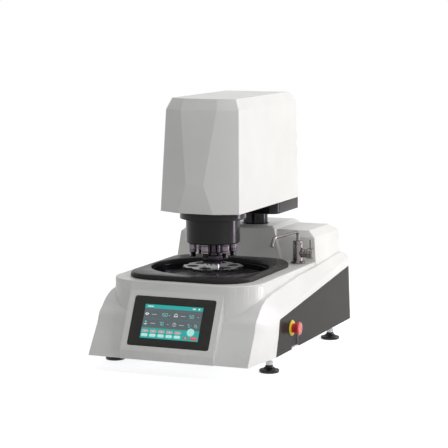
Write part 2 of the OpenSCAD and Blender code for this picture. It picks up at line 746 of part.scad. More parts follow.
housing_bore = 26;
housing_r = 34;
housing_foot_r = 55;
housing_foot_t = 8;
bearing_h = 15;
module bearing_housing() place() color("lightslategray") at(0, platen_y, bridge_z)
  difference() {
    union() {
      post(housing_r, bowl_low - bridge_z);
      post(housing_foot_r, housing_foot_t);
    }
    translate([0, 0, -over]) post(housing_bore, bowl_low - bridge_z + 2 * over);
  }
module platen_bearings() place() color("silver") for (z = [bridge_z + bridge_t,
  bowl_low - bearing_h - bridge_t]) at(0, platen_y, z) tube(housing_bore, spindle_r, bearing_h);
spindle_low = 70;
module platen_spindle() place() color("silver") at(0, platen_y, spindle_low)
  post(spindle_r, platen_low + platen_t - cap_depth - spindle_low);
pulley_rim = 3;
// Pulley with a belt groove between two rims, and lightening holes where it is wide
module pulley(r, bore) difference() {
  union() {
    post(r, pulley_h);
    for (z = [0, pulley_h - pulley_rim / 2]) at(0, 0, z) post(r + belt_t, pulley_rim / 2);
  }
  translate([0, 0, -over]) post(bore, pulley_h + 2 * over);
}
module driven_pulley() place() color("slategray") at(0, platen_y, pulley_z) difference() {
  pulley(big_pulley_r, spindle_r);
  for (a = [0 : 60 : 300]) rotate(a) at((big_pulley_r + spindle_r) / 2, 0, -over)
    post(big_pulley_r / 5, pulley_h + 2 * over);
}
module motor_pulley() place() color("slategray") at(0, motor_y, pulley_z) {
  pulley(small_pulley_r, shaft_r);
  at(0, 0, -over) post(shaft_r, bridge_z + motor_l / 2 - pulley_z);
}
// Loop of the belt's path at a distance t outside both pulleys
belt_span = motor_y - platen_y;
belt_slope = asin((big_pulley_r - small_pulley_r) / belt_span);
module belt_loop(t) {
  big = big_pulley_r + t;
  small = small_pulley_r + t;
  translate([0, platen_y]) circle(big, $fn = 128);
  translate([0, motor_y]) circle(small, $fn = 96);
  polygon([[big * cos(belt_slope), platen_y + big * sin(belt_slope)],
    [small * cos(belt_slope), motor_y + small * sin(belt_slope)],
    [-small * cos(belt_slope), motor_y + small * sin(belt_slope)],
    [-big * cos(belt_slope), platen_y + big * sin(belt_slope)]]);
}
module drive_belt() place() color("#222222") at(0, 0, pulley_z + (pulley_h - belt_w) / 2)
  linear_extrude(belt_w) difference() {
    belt_loop(belt_gap + belt_t);
    belt_loop(belt_gap);
  }
fin_t = 2.5;
module platen_motor() place() color("#55585c") at(0, motor_y, bridge_z) difference() {
  union() {
    post(motor_r - fin_t, motor_l);
    for (z = [0 : fin_t * 3 : motor_l - fin_t]) at(0, 0, z) post(motor_r, fin_t);
  }
  translate([0, 0, -over]) post(shaft_r + run_fit, motor_l / 2 + 2 * over);
}

// Feet

foot_cone_r = 16;
foot_neck_r = 9;
foot_cone_h = 10;
stud_top = 55;
module foot(x, y) place() at(x, y, 0) {
  color("#1b1b1b") rotate_extrude() polygon([[0, 0], [foot_r - seam, 0], [foot_r, seam],
    [foot_r, foot_t - over], [foot_r - over, foot_t], [foot_cone_r, foot_t + over],
    [foot_neck_r, foot_t + foot_cone_h], [0, foot_t + foot_cone_h]]);
  color("silver") at(0, 0, foot_t + foot_cone_h) post(stud_r, stud_top - foot_t - foot_cone_h);
}
module foot_1() foot(-foot_x, foot_front_y);
module foot_2() foot(foot_x, foot_front_y);
module foot_3() foot(foot_x, foot_rear_y);
module foot_4() foot(-foot_x, foot_rear_y);

// Rear housings, panel and connections

module rear_housing() place() color("whitesmoke") difference() {
  mast_form();
  mast_form(wall);
  at(0, column_y, mast_z - wall - over) post(column_r + wall, wall + 2 * over);
}
module rear_box() difference() {
  box_form();
  box_form(wall);
  mast_form();
}
module rear_box_right() place() color("whitesmoke") rear_box();
module rear_box_left() place() color("whitesmoke") mirror([1, 0, 0]) rear_box();

inlet_in = 50;
inlet_x = hatch_half - inlet_in;
inlet_z = 84;
inlet_w = 48;
inlet_h = 58;
water_x = 60;
water_z = 150;
water_r = 10;
water_hex_share = 1.5;
vent_w = 60;
vent_h = 5;
vent_pitch = 12;
vent_count = 8;
module rear_panel() place() color("lightgray") difference() {
  block(-hatch_half + seam, hatch_half - seam, rear_y - wall, rear_y, hatch_low + seam,
    hatch_top - seam);
  block(inlet_x - inlet_w / 2 - seam, inlet_x + inlet_w / 2 + seam, rear_y - wall - over,
    rear_y + over, inlet_z - inlet_h / 2 - seam, inlet_z + inlet_h / 2 + seam);
  at(drain_x, rear_y - wall - over, drain_z) post_y(pipe_r + seam, wall + 2 * over);
  at(water_x, rear_y - wall - over, water_z) post_y(water_r + seam, wall + 2 * over);
  for (i = [0 : vent_count - 1]) block(-vent_w / 2, vent_w / 2, rear_y - wall - over,
    rear_y + over, hatch_low + (i + 2) * vent_pitch, hatch_low + (i + 2) * vent_pitch + vent_h);
}
screw_r = 3.5;
screw_h = 2.2;
screw_in = 8;
module cover_screws() place() color("silver") for (x = [-1, 0, 1]) for (z = [hatch_low + screw_in,
  hatch_top - screw_in]) at(x * (hatch_half - screw_in), rear_y, z) post_y(screw_r, screw_h);
inlet_depth = 36;
pin_w = 3;
module power_inlet() place() color("#242424") difference() {
  union() {
    block(inlet_x - inlet_w / 2, inlet_x + inlet_w / 2, rear_y - inlet_depth, rear_y,
      inlet_z - inlet_h / 2, inlet_z + inlet_h / 2);
    block(inlet_x - inlet_w / 2 - pin_w, inlet_x + inlet_w / 2 + pin_w, rear_y, rear_y + screw_h,
      inlet_z - inlet_h / 2 - pin_w, inlet_z + inlet_h / 2 + pin_w);
  }
  difference() {
    block(inlet_x - inlet_w / 2 + pin_w * 4, inlet_x + inlet_w / 2 - pin_w * 4,
      rear_y - inlet_depth / 2, rear_y + 2 * over + screw_h, inlet_z - inlet_h / 2 + pin_w * 2,
      inlet_z - pin_w);
    for (x = [-2, 0, 2]) block(inlet_x + x * pin_w - pin_w / 3, inlet_x + x * pin_w + pin_w / 3,
      rear_y - inlet_depth / 2, rear_y - pin_w, inlet_z - inlet_h / 4 - pin_w,
      inlet_z - inlet_h / 4 + pin_w);
  }
}
module water_inlet() place() color("goldenrod") at(water_x, 0, water_z) difference() {
  union() {
    at(0, rear_y - 2 * water_r, 0) post_y(water_r, 2 * water_r + spigot_l - over);
    at(0, rear_y, 0) rotate([-90, 0, 0]) cylinder(r = water_r * water_hex_share, h = wall, $fn = 6);
  }
  at(0, rear_y - 2 * water_r - over, 0) post_y(water_r / 2, 2 * water_r + spigot_l + over);
}
box_t = 84;
module controller() place() color("#8d9296") {
  block(leg_x + leg_w, side_half - 4 * wall - panel_t, motor_y - box_t, motor_y + box_t / 2,
    plate_top, plate_top + box_t);
}

// Column and its guide

guide_top = mast_z - wall - seam;
column_foot = guide_top - column_hold - lift_travel;
guide_foot_r = 62;
module column_guide() place() color("slategray") at(0, column_y, plate_top) difference() {
  union() {
    post(guide_r, guide_top - plate_top);
    post(guide_foot_r, 2 * plate_t);
  }
  at(0, 0, -over) post(column_r + run_fit, guide_top - plate_top + 2 * over);
}
ram_top = 250;
module lift_cylinder() place() color("silver") at(0, column_y, plate_top) difference() {
  post(ram_r, ram_top - plate_top);
  at(0, 0, column_foot - plate_top) post(rod_r + run_fit, ram_top - column_foot + over);
}
module column() place() color("#1d1c20") at(0, column_y, 0) {
  difference() {
    at(0, 0, column_foot) post(column_r, column_top - column_foot);
    at(0, 0, column_foot - over) post(column_r - column_wall,
      column_top - column_foot - column_wall + over);
  }
  at(0, 0, column_foot + column_wall) post(rod_r, column_top - column_foot - 2 * column_wall);
}

// Head

module head_cover() place() color("whitesmoke") difference() {
  head_form();
  head_form(wall, over);
}
module arm_plate() place() color("#2a272d") difference() {
  at(0, 0, arm_z) linear_extrude(arm_h)
    rounded(head_half, arm_front_y, head_rear_y - wall, arm_r, 0);
  at(0, column_y, arm_z - over) post(column_r + run_fit, arm_h + 2 * over);
}
clamp_r = 39;
clamp_h = 62;
module head_frame() place() color("gainsboro") difference() {
  union() {
    at(0, 0, head_z) linear_extrude(carrier_t)
      polygon(head_plan(head_z, 0, wall + seam + carrier_in));
    at(0, column_y, head_z) post(clamp_r, clamp_h);
    for (s = [-1, 1]) block(s * clamp_r - wall, s * clamp_r + wall, head_y + motor_head_r,
      column_y, carrier_top, head_z + clamp_h);
  }
  at(0, column_y, head_z - over) post(column_r + run_fit, clamp_h + 2 * over);
  at(0, head_y, head_z - over) post(mover_r + wall, carrier_t + 2 * over);
}
carrier_in = 0.6;
motor_head_r = 46;
motor_head_h = 150;
bearing_r = 28;
module bearing_flange() place() color("#2a282c") at(0, head_y, flange_z) difference() {
  post(flange_r, flange_h);
  at(0, 0, -over) post(bearing_r, flange_h + 2 * over);
}
module head_bearings() place() color("silver") at(0, head_y, flange_z + wall)
  tube(bearing_r, mover_r, flange_h - 2 * wall);
module head_motor() place() color("#55585c") at(0, head_y, carrier_top) difference() {
  union() {
    post(motor_head_r, motor_head_h / 3);
    at(0, 0, motor_head_h / 3) post(motor_head_r - wall, motor_head_h * 2 / 3);
  }
  at(0, 0, -over) post(mover_r + run_fit, motor_head_h / 3 + over);
}
manifold_w = 66;
module air_manifold() place() color("silver") {
  block(-manifold_w / 2, manifold_w / 2, manifold_y, manifold_y + manifold_w / 2, carrier_top,
    carrier_top + manifold_w / 2);
  for (i = [-2.5 : 2.5]) at(i * manifold_w / 7, manifold_y + manifold_w / 4,
    carrier_top + manifold_w / 2) post(manifold_w / 20, manifold_w / 8);
}
manifold_y = 80;

// Specimen mover

pusher_hold = 36;
bore_h = pusher_hold + pusher_travel;
pusher_count = 6;
pusher_pitch = 360 / pusher_count;
function pusher_angle(i) = (i + 1 / 2) * pusher_pitch;
module at_pusher(i) at(pusher_pcd_r * cos(pusher_angle(i)),
  head_y + pusher_pcd_r * sin(pusher_angle(i)), 0) children();
drum_round = 2;
module pusher_drum() place() color("#2a282c") difference() {
  at(0, head_y, drum_z) rotate_extrude() polygon([[0, 0], [drum_r - drum_round, 0],
    [drum_r, drum_round], [drum_r, drum_h - seam], [0, drum_h - seam]]);
  for (i = [0 : pusher_count - 1]) at_pusher(i) at(0, 0, drum_z - over)
    post(pusher_r + run_fit, bore_h + over);
  at(0, head_y, drum_z - over) post(mover_r, drum_h + 2 * over);
}
nose_r = 8;
collar_z = sleeve_z + over + sleeve_travel + seam;
module head_spindle() place() color("#4a4a4e") at(0, head_y, 0) {
  at(0, 0, collar_z) post(collar_r, drum_z - collar_z);
  at(0, 0, drum_z) post(mover_r, carrier_top + motor_head_h / 3 - wall - drum_z);
  at(0, 0, holder_top) post(nose_r, collar_z - holder_top);
}
module coupling_sleeve() place() color("#4a4a4e") at(0, head_y, sleeve_z) difference() {
  post(sleeve_r, sleeve_h);
  at(0, 0, over) post(collar_r + run_fit, sleeve_h);
  at(0, 0, -over) post(nose_r + wall, 3 * over);
}
lobe_cut_r = 13;
lobe_out_share = 1.07;
holder_z = holder_top - holder_t;
module specimen_holder() place() color("silver") at(0, head_y, 0) difference() {
  union() {
    at(0, 0, holder_z) post(holder_r, holder_t);
    at(0, 0, holder_z) post(holder_hub_r, holder_t + holder_hub_h);
  }
  for (a = [0 : 60 : 300]) rotate(a) at(holder_r * lobe_out_share, 0, holder_z - over)
    post(lobe_cut_r, holder_t + 2 * over);
  for (i = [0 : pusher_count - 1]) rotate(pusher_angle(i)) at(pusher_pcd_r, 0, holder_z - over)
    post(specimen_r, holder_t + 2 * over);
  for (i = [0 : pusher_count - 1]) rotate(pusher_angle(i)) at(pusher_pcd_r, 0, holder_z + holder_t / 2)
    post_x(clamp_screw_r, holder_r);
  at(0, 0, holder_top) post(nose_r, holder_hub_h + over);
}
clamp_screw_r = 2.5;
clamp_screw_l = 11;
module holder_screws() place() color("#9a9a9c") at(0, head_y, holder_z + holder_t / 2)
  for (i = [0 : pusher_count - 1]) rotate(pusher_angle(i))
    at(pusher_pcd_r + specimen_r + seam, 0, 0) post_x(clamp_screw_r, clamp_screw_l);

module pusher(i) place() color("silver") at_pusher(i) {
  at(0, 0, pusher_z) post(pusher_r, pusher_drop + bore_h - over);
  at(0, 0, pusher_z - pusher_foot_l) post(pusher_foot_r, pusher_foot_l);
}
module pusher_1() pusher(4);
module pusher_2() pusher(5);
module pusher_3() pusher(0);
module pusher_4() pusher(1);
module pusher_5() pusher(2);
module pusher_6() pusher(3);

// Tap

tap_flange_r = 19;
tap_flange_t = 5;
shank_r = 9;
shank_l = 30;
valve_r = 11.5;
valve_l = 26.4;
lever_hub_r = 14;
lever_hub_l = 17;
lever_r = 2.5;
spout_seat = 12;
spout_heading = [-0.2, -0.98];
module tap_body() place() color("silver") at(tap_x, tap_y, deck_z) difference() {
  union() {
    post(tap_flange_r, tap_flange_t);
    post(tap_r, tap_h);
    at(0, 0, -shank_l) post(shank_r, shank_l);
    at(0, 0, -2 * wall - tap_flange_t) cylinder(r = tap_r, h = tap_flange_t, $fn = 6);
    at(0, 0, lever_z) post_x(valve_r, valve_l);
  }
  at(0, 0, tap_h - spout_seat) post(spout_r + run_fit, spout_seat + over);
}
spout_joint = 0.3;
spout_turns = [92, 62];
// Pipe of a length, with a brazed joint at its end that turns towards +x for what follows
module jointed(l, turn) {
  post(spout_r, l);
  at(0, 0, l) sphere(spout_r + spout_joint);
  at(0, 0, l) rotate([0, turn, 0]) children();
}
module tap_spout() place() color("silver") at(tap_x, tap_y, deck_z + tap_h - spout_seat)
  rotate(atan2(spout_heading.y, spout_heading.x))
    jointed(spout_z - tap_h + spout_seat, spout_turns[0]) jointed(spout_reach, spout_turns[1])
      post(spout_r, spout_drop);
module tap_lever() place() color("silver") at(tap_x + valve_l + seam, tap_y, deck_z + lever_z) {
  post_x(lever_hub_r, lever_hub_l);
  at(lever_hub_l / 2, 0, 0) post(lever_r, lever_hub_r + lever_l);
}

// Stop button

stop_neck_r = 11;
stop_collar_r = 13;
stop_plate_t = 2;
stop_stem_r = 6;
stop_plate_x = side_x(stop_z - stop_plate_r) + seam;
stop_collar_t = 6;
stop_collar_x = stop_plate_x + stop_plate_t + stop_collar_t;
stop_block_in = 32;
stop_block_half = 14.3;
stop_block_x = side_half - side_lean - stop_block_in;
module estop_ring() place() color("gold") at(0, stop_y, stop_z) difference() {
  union() {
    at(stop_plate_x, 0, 0) post_x(stop_plate_r, stop_plate_t);
    at(stop_plate_x, 0, 0) post_x(stop_collar_r, stop_collar_x - stop_plate_x);
    at(stop_block_x + 2 * stop_neck_r, 0, 0) post_x(stop_neck_r,
      stop_plate_x - stop_block_x - 2 * stop_neck_r);
  }
  at(stop_block_x, 0, 0) post_x(stop_stem_r + run_fit, stop_collar_x - stop_block_x + over);
}
module estop_block() place() color("#3c6e47") at(stop_block_x, stop_y, stop_z) difference() {
  block(-over, 2 * stop_neck_r, -stop_block_half, stop_block_half, -stop_block_half,
    stop_block_half);
  at(over, 0, 0) post_x(stop_stem_r + run_fit, 2 * stop_neck_r + over);
}
stop_head_l = 14;
stop_back_x = side_half + stop_reach - stop_head_l;
module estop_stem() place() color("silver") at(stop_block_x + over + stop_travel + seam, stop_y,
  stop_z) post_x(stop_stem_r, stop_back_x + stop_seat_l - stop_block_x - over - stop_travel - seam);
stop_seat_l = 8;
stop_brim_z = 5;
stop_round = 2;
module estop_button() place() color("red") at(stop_back_x, stop_y, stop_z) rotate([0, 90, 0])
  difference() {
    rotate_extrude() polygon([[0, 0], [stop_collar_r, 0], [stop_collar_r + seam, stop_brim_z],
      [stop_r, stop_brim_z + stop_round], [stop_r, stop_head_l - stop_round],
      [stop_r - stop_round, stop_head_l], [0, stop_head_l]]);
    at(0, 0, -over) post(stop_stem_r + run_fit, stop_seat_l + over);
  }

base_frame();
body_cover();
side_panel_left();
side_panel_right();
deck();
console_frame();
display_bezel();
touch_screen();
bowl_surround();
bowl();
drain_pipe();
bearing_housing();
platen_bearings();
platen_motor();
drive_belt();
rear_housing();
rear_box_left();
rear_box_right();
rear_panel();
cover_screws();
column_guide();
lift_cylinder();
power_inlet();
water_inlet();
controller();
estop_ring();
estop_block();
tap_body();
platen();
magnetic_disc();
platen_spindle();
driven_pulley();
motor_pulley();
foot_1();
foot_2();
foot_3();
foot_4();
column();
head_cover();
arm_plate();
head_frame();
bearing_flange();
head_bearings();
head_motor();
air_manifold();
pusher_drum();
head_spindle();
coupling_sleeve();
specimen_holder();
holder_screws();
pusher_1();
pusher_2();
pusher_3();
pusher_4();
pusher_5();
pusher_6();
tap_spout();
tap_lever();
estop_stem();
estop_button();
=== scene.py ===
# %% [markdown]
# A bench grinder-polisher for metal samples, dressed for its picture.
# The CAD frame gives every piece its place and its joints. This lesson puts a finished skin
# over each of them: moulded white covers, black lacquered parts, turned and polished steel,
# and a lit touch screen. Every shape is worked out as arrays of points, so that a reader can
# change one number and see what it does.

import math

import bmesh
import bpy
import numpy as np
from mathutils import Euler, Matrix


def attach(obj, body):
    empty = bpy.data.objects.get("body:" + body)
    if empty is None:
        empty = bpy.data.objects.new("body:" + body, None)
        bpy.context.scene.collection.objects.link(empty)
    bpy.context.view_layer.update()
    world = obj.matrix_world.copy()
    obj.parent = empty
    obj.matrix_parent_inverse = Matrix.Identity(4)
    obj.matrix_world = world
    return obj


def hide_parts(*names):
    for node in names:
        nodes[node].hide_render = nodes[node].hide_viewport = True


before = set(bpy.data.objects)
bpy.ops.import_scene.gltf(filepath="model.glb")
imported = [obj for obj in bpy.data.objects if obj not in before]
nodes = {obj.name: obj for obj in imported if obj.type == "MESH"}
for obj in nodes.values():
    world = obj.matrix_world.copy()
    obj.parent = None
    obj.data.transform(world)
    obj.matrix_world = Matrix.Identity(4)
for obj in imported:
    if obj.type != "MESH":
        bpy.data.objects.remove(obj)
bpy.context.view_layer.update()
print("CAD nodes:", len(nodes))

# %% [markdown]
# The camera comes first, because everything is judged through it. The photograph was taken
# from the front right with a long lens, a little above the deck. The turn about the vertical,
# the pitch and the distance were found by fitting corners of the machine to the picture.

# %% Camera
LENS_MM = 141.64
CAMERA_AT = (1.70253, -4.19067, 0.91593)
CAMERA_PITCH, CAMERA_TURN = math.radians(82.62), math.radians(22.26)

camera = bpy.data.objects.new("camera", bpy.data.cameras.new("camera"))
camera.data.lens = LENS_MM
camera.location = CAMERA_AT
camera.rotation_euler = Euler((CAMERA_PITCH, 0, CAMERA_TURN))
bpy.context.scene.collection.objects.link(camera)
bpy.context.scene.camera = camera
print("camera", [round(v, 3) for v in camera.location])

# %% [markdown]
# All sizes below are in the machine's own millimetres, measured as in the CAD: x from its
# middle plane, y from a line across the deck, z from the floor. One helper moves them into
# the frame. The second turns a grid of points into faces, which is all that a surface is.

# %% From millimetres to faces
MACHINE_MIDDLE = np.array([11.2, 40.5, 0.0])


def in_frame(points):
    """Frame metres from machine millimetres: (point - middle of the box) / 1000."""
    return (np.asarray(points, float).reshape(-1, 3) - MACHINE_MIDDLE) / 1000


def skin(grid, around=True, ends=(True, True), ink=0):
    """Points and faces of a grid: cell (i, j) joins rows i, i + 1 and columns j, j + 1.
    around joins the last column to the first, and ends close the first and last rows."""
    rows, columns = grid.shape[:2]
    index = np.arange(rows * columns).reshape(rows, columns)
    left = index if around else index[:, :-1]
    right = np.roll(index, -1, axis=1) if around else index[:, 1:]
    cells = np.stack([left[:-1], right[:-1], right[1:], left[1:]], axis=-1)
    faces = cells.reshape(-1, 4).tolist()
    if ends[0]:
        faces.append(index[0, ::-1].tolist())
    if ends[1]:
        faces.append(index[-1].tolist())
    return grid.reshape(-1, 3), faces, ink


def eased(points, reach, steps=3, axis=0, closed=False):
    """Rounds corners along one axis. Corner P becomes (1-t)^2 A + 2t(1-t) P + t^2 B, with A
    and B on the way to its neighbours, reach mm off but never past 45% of the way."""
    corner = np.moveaxis(np.asarray(points, float), axis, 0)

    def towards(other):
        way = other - corner
        length = np.linalg.norm(way, axis=-1, keepdims=True)
        return corner + way * np.minimum(reach / np.maximum(length, 1e-9), 0.45)

    a, b = towards(np.roll(corner, 1, 0)), towards(np.roll(corner, -1, 0))
    t = np.linspace(0, 1, steps + 1).reshape(-1, *[1] * corner.ndim)
    curve = np.moveaxis((1 - t) ** 2 * a + 2 * t * (1 - t) * corner + t**2 * b, 0, 1)
    if closed:
        soft = curve.reshape(-1, *corner.shape[1:])
    else:
        middle = curve[1:-1].reshape(-1, *corner.shape[1:])
        soft = np.concatenate([corner[:1], middle, corner[-1:]])
    return np.moveaxis(soft, 0, axis)


print("helpers ready")

# %% [markdown]
# A piece is one or more skins in one mesh. Doubled points, such as the pole of a turned
# part, are merged, and the normals are worked out again so that all of them point outwards.
# Edges sharper than a set angle stay crisp, the others are shaded round.

# %% Put a piece into the scene
FINISHES = {}


def piece(name, skins, finish, body, stands_for=(), sharp=38):
    """One mesh from several skins, riding on a CAD body in place of CAD nodes."""
    counts = np.cumsum([0] + [len(points) for points, _, _ in skins])
    points = np.concatenate([in_frame(points) for points, _, _ in skins])
    faces, inks = [], []
    for start, (_, own, ink) in zip(counts, skins):
        faces += [[start + i for i in face] for face in own]
        inks += [ink] * len(own)
    mesh = bpy.data.meshes.new(name)
    mesh.from_pydata(points.tolist(), [], faces)
    mesh.polygons.foreach_set("material_index", inks)
    tidy = bmesh.new()
    tidy.from_mesh(mesh)
    bmesh.ops.remove_doubles(tidy, verts=tidy.verts, dist=2e-6)
    bmesh.ops.dissolve_degenerate(tidy, edges=tidy.edges, dist=1e-6)
    bmesh.ops.recalc_face_normals(tidy, faces=tidy.faces)
    tidy.to_mesh(mesh)
    tidy.free()
    return dressed(name, mesh, finish, body, stands_for, sharp)


def dressed(name, mesh, finish, body, stands_for, sharp):
    """An object for a mesh, with its finishes, its body and the nodes that it stands for."""
    mesh.shade_smooth()
    mesh.set_sharp_from_angle(angle=math.radians(sharp))
    shown = bpy.data.objects.new(name, mesh)
    bpy.context.scene.collection.objects.link(shown)
    for own in [finish] if isinstance(finish, str) else finish:
        mesh.materials.append(FINISHES[own])
    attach(shown, body)
    if stands_for:
        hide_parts(*([stands_for] if isinstance(stands_for, str) else stands_for))
    return shown


def moulded(node, name, finish, body, width=1.0, segments=3, sharp=30):
    """A copy of a CAD node whose cut-outs are worth keeping: triangles are merged back into
    flat faces, and every edge sharper than 30 degrees gets a small round of that width."""
    mesh = nodes[node].data.copy()
    mesh.materials.clear()
    mesh.name = name
    tidy = bmesh.new()
    tidy.from_mesh(mesh)
    bmesh.ops.remove_doubles(tidy, verts=tidy.verts, dist=1e-5)
    bmesh.ops.dissolve_limit(
        tidy, angle_limit=math.radians(0.6), verts=tidy.verts, edges=tidy.edges
    )
    tidy.to_mesh(mesh)
    tidy.free()
    shown = dressed(name, mesh, finish, body, node, sharp)
    bevel = shown.modifiers.new("rounded edges", "BEVEL")
    bevel.width = width / 1000
    bevel.segments = segments
    bevel.limit_method = "ANGLE"
    bevel.angle_limit = math.radians(sharp)
    bevel.harden_normals = True
    bevel.use_clamp_overlap = True
    return shown


print("piece makers ready")

# %% [markdown]
# Most machined parts are one of three forms. A turned part is a profile spun about an axis.
# A slab is an outline raised to a height with a rounded rim. A faceted cover is a stack of
# cornered rings, and rounding it along both directions gives the soft edges of a moulding.

# %% Turned, slab and faceted forms
TURNS = {"z": [0, 1, 2], "x": [2, 0, 1], "y": [1, 2, 0]}


def turned(profile, at=(0, 0, 0), axis="z", reach=0.8, steps=96, shut=False, wave=0, ink=0):
    """Profile (r, h) spun about an axis: (r cos a, r sin a, h), moved to at. shut joins the
    profile's ends into a ring wall. wave is a function of the angle that is added to r."""
    line = eased(profile, reach, 4, closed=shut)
    line = np.concatenate([line, line[:1]]) if shut else line
    angle = np.linspace(0, 2 * np.pi, steps, endpoint=False)
    r = line[:, :1] + (wave(angle, line[:, :1], line[:, 1:]) if wave else 0 * angle)
    grid = np.stack([r * np.cos(angle), r * np.sin(angle), line[:, 1:] + 0 * angle], -1)
    open_ends = tuple(bool(not shut and line[i, 0] > 1e-6) for i in (0, -1))
    return skin(grid[..., TURNS[axis]] + np.array(at, float), ends=open_ends, ink=ink)


def rounded_outline(half, y0, y1, r_front, r_rear, steps=20):
    """Rectangle from x -half to half and y0 to y1, with a quarter circle at each corner."""
    arc = np.linspace(0, np.pi / 2, steps + 1)
    corners = [(half - r_front, y0 + r_front, r_front, -1), (half - r_rear, y1 - r_rear, r_rear, 0),
               (r_rear - half, y1 - r_rear, r_rear, 1), (r_front - half, y0 + r_front, r_front, 2)]
    return np.concatenate([
        np.stack([x + r * np.cos(arc + k * np.pi / 2), y + r * np.sin(arc + k * np.pi / 2)], -1)
        for x, y, r, k in corners])


def outward(outline):
    """Unit normal of a closed outline: its direction, from neighbour to neighbour, turned
    by a right angle."""
    way = np.roll(outline, -1, 0) - np.roll(outline, 1, 0)
    normal = np.stack([way[:, 1], -way[:, 0]], -1)
    return normal / np.maximum(np.linalg.norm(normal, axis=1, keepdims=True), 1e-9)


def slab(outline, low, high, rim=1.0, foot=0.4, steps=5, ink=0):
    """An outline raised from low to high. Each rim is a quarter circle: at angle a it steps
    in by r (1 - cos a) and rises by r sin a."""
    a = np.linspace(0, np.pi / 2, steps + 1)
    inset = np.concatenate([foot * (1 - np.cos(a[::-1])), rim * (1 - np.cos(a))])
    height = np.concatenate([low + foot * (1 - np.sin(a[::-1])), high - rim * (1 - np.sin(a))])
    normal = outward(outline)
    flat = outline[None] - inset[:, None, None] * normal[None]
    rise = np.broadcast_to(height[:, None, None], (*flat.shape[:2], 1))
    return skin(np.concatenate([flat, rise], -1), ink=ink)


def faceted(rings, edge=2.0, level=2.0, steps=3, ends=(True, True), ink=0):
    """Rings of corners (levels, corners, 3), eased round each ring and then up the levels."""
    soft = eased(rings, edge, steps, axis=1, closed=True)
    return skin(eased(soft, level, steps, axis=0), ends=ends, ink=ink)


def at_level(plan, z):
    """A flat plan (n, 2) lifted to height z."""
    plan = np.asarray(plan, float)
    return np.concatenate([plan, np.full((len(plan), 1), float(z))], -1)


print("forms ready")

# %% [markdown]
# A finish is a small calculation over the surface. The class below wraps one value in a
# shader, so that the calculation can be written as ordinary Python: noise * 0.1 + 0.3 adds
# the Math nodes by itself. Object coordinates are in metres, so a noise of scale 900 has
# grains of about a millimetre.

# %% Shader arithmetic
class Wire:
    """One value inside a shader. The usual operators on it add Math nodes."""

    def __init__(self, finish, socket):
        self.finish, self.socket = finish, socket

    def _math(self, operation, first, second=0.0):
        return self.finish.node("ShaderNodeMath", {"operation": operation}, {0: first, 1: second})

    def __add__(self, other):
        return self._math("ADD", self, other)

    def __rsub__(self, other):
        return self._math("SUBTRACT", other, self)

    def __mul__(self, other):
        return self._math("MULTIPLY", self, other)

    def __pow__(self, other):
        return self._math("POWER", self, other)

    __radd__, __rmul__ = __add__, __mul__

    def wave(self):
        return self._math("SINE", self)

    def between(self, low, high):
        """0 below low, 1 above high, and a smooth step from one to the other."""
        return self.finish.node(
            "ShaderNodeMapRange", {"interpolation_type": "SMOOTHSTEP"},
            {"Value": self, "From Min": low, "From Max": high})


class Finish:
    """A material built on the Principled shader."""

    def __init__(self, name):
        self.material = bpy.data.materials.new(name)
        self.material.use_nodes = True
        self.tree = self.material.node_tree
        self.shader = self.tree.nodes["Principled BSDF"]
        FINISHES[name] = self.material

    def feed(self, socket, value):
        """Links a wire to a socket, or sets a plain value on it."""
        if isinstance(value, Wire):
            self.tree.links.new(value.socket, socket)
        else:
            socket.default_value = value

    def node(self, kind, settings=None, inputs=None, out=0):
        """Adds a node: its settings first, then the values or links of its sockets."""
        made = self.tree.nodes.new(kind)
        for key, value in (settings or {}).items():
            setattr(made, key, value)
        for key, value in (inputs or {}).items():
            self.feed(made.inputs[key], value)
        return Wire(self, made.outputs[out])

    def place(self, stretch=(1, 1, 1), centre=(0, 0, 0)):
        """Object coordinates about a centre, stretched."""
        object_place = self.node("ShaderNodeTexCoord", out=3)
        moved = tuple(-c * s for c, s in zip(centre, stretch))
        return self.node("ShaderNodeMapping", {},
                         {"Vector": object_place, "Scale": stretch, "Location": moved})

    def noise(self, scale, detail=3.0, stretch=(1, 1, 1)):
        """Cloudy noise from 0 to 1 with grains of about 1 / scale metres."""
        return self.node("ShaderNodeTexNoise", {},
                         {"Vector": self.place(stretch), "Scale": scale, "Detail": detail})

    def axis_radius(self, centre):
        """Distance from an upright axis, in metres: the root of x squared plus y squared."""
        parts = [self.node("ShaderNodeSeparateXYZ", {}, {0: self.place(centre=centre)}, out=i)
                 for i in (0, 1)]
        return (parts[0] * parts[0] + parts[1] * parts[1]) ** 0.5

    def height(self, out=2):
        return self.node("ShaderNodeSeparateXYZ", {}, {0: self.place()}, out=out)

    def mixed(self, share, first, second):
        """A colour between two, by a share from 0 to 1."""
        return self.node("ShaderNodeMix", {"data_type": "RGBA"},
                         {0: share, 6: (*first, 1) if isinstance(first, tuple) else first,
                          7: (*second, 1) if isinstance(second, tuple) else second}, out=2)

    def bump(self, height, depth, strength=1.0):
        """A normal from a height, where depth is the relief in metres."""
        return self.node("ShaderNodeBump", {}, {"Height": height, "Distance": depth,
                                                "Strength": strength})

    def put(self, **sockets):
        """Feeds the shader's sockets: Base_Color stands for Base Color."""
        for key, value in sockets.items():
            value = (*value, 1) if isinstance(value, tuple) and len(value) == 3 else value
            self.feed(self.shader.inputs[key.replace("_", " ")], value)
        return self


print("shader arithmetic ready")

# %% [markdown]
# The covers are moulded and sprayed satin white. Sprayed lacquer has a fine orange-peel, a
# colour that drifts a little over a large panel, and places that hands have polished. A
# faint grey is mixed in, in patches, and it grows darker towards the floor.

# %% Lacquers


def shaded(colour, factor):
    """A colour made darker or lighter by a factor."""
    return tuple(min(c * factor, 1.0) for c in colour)


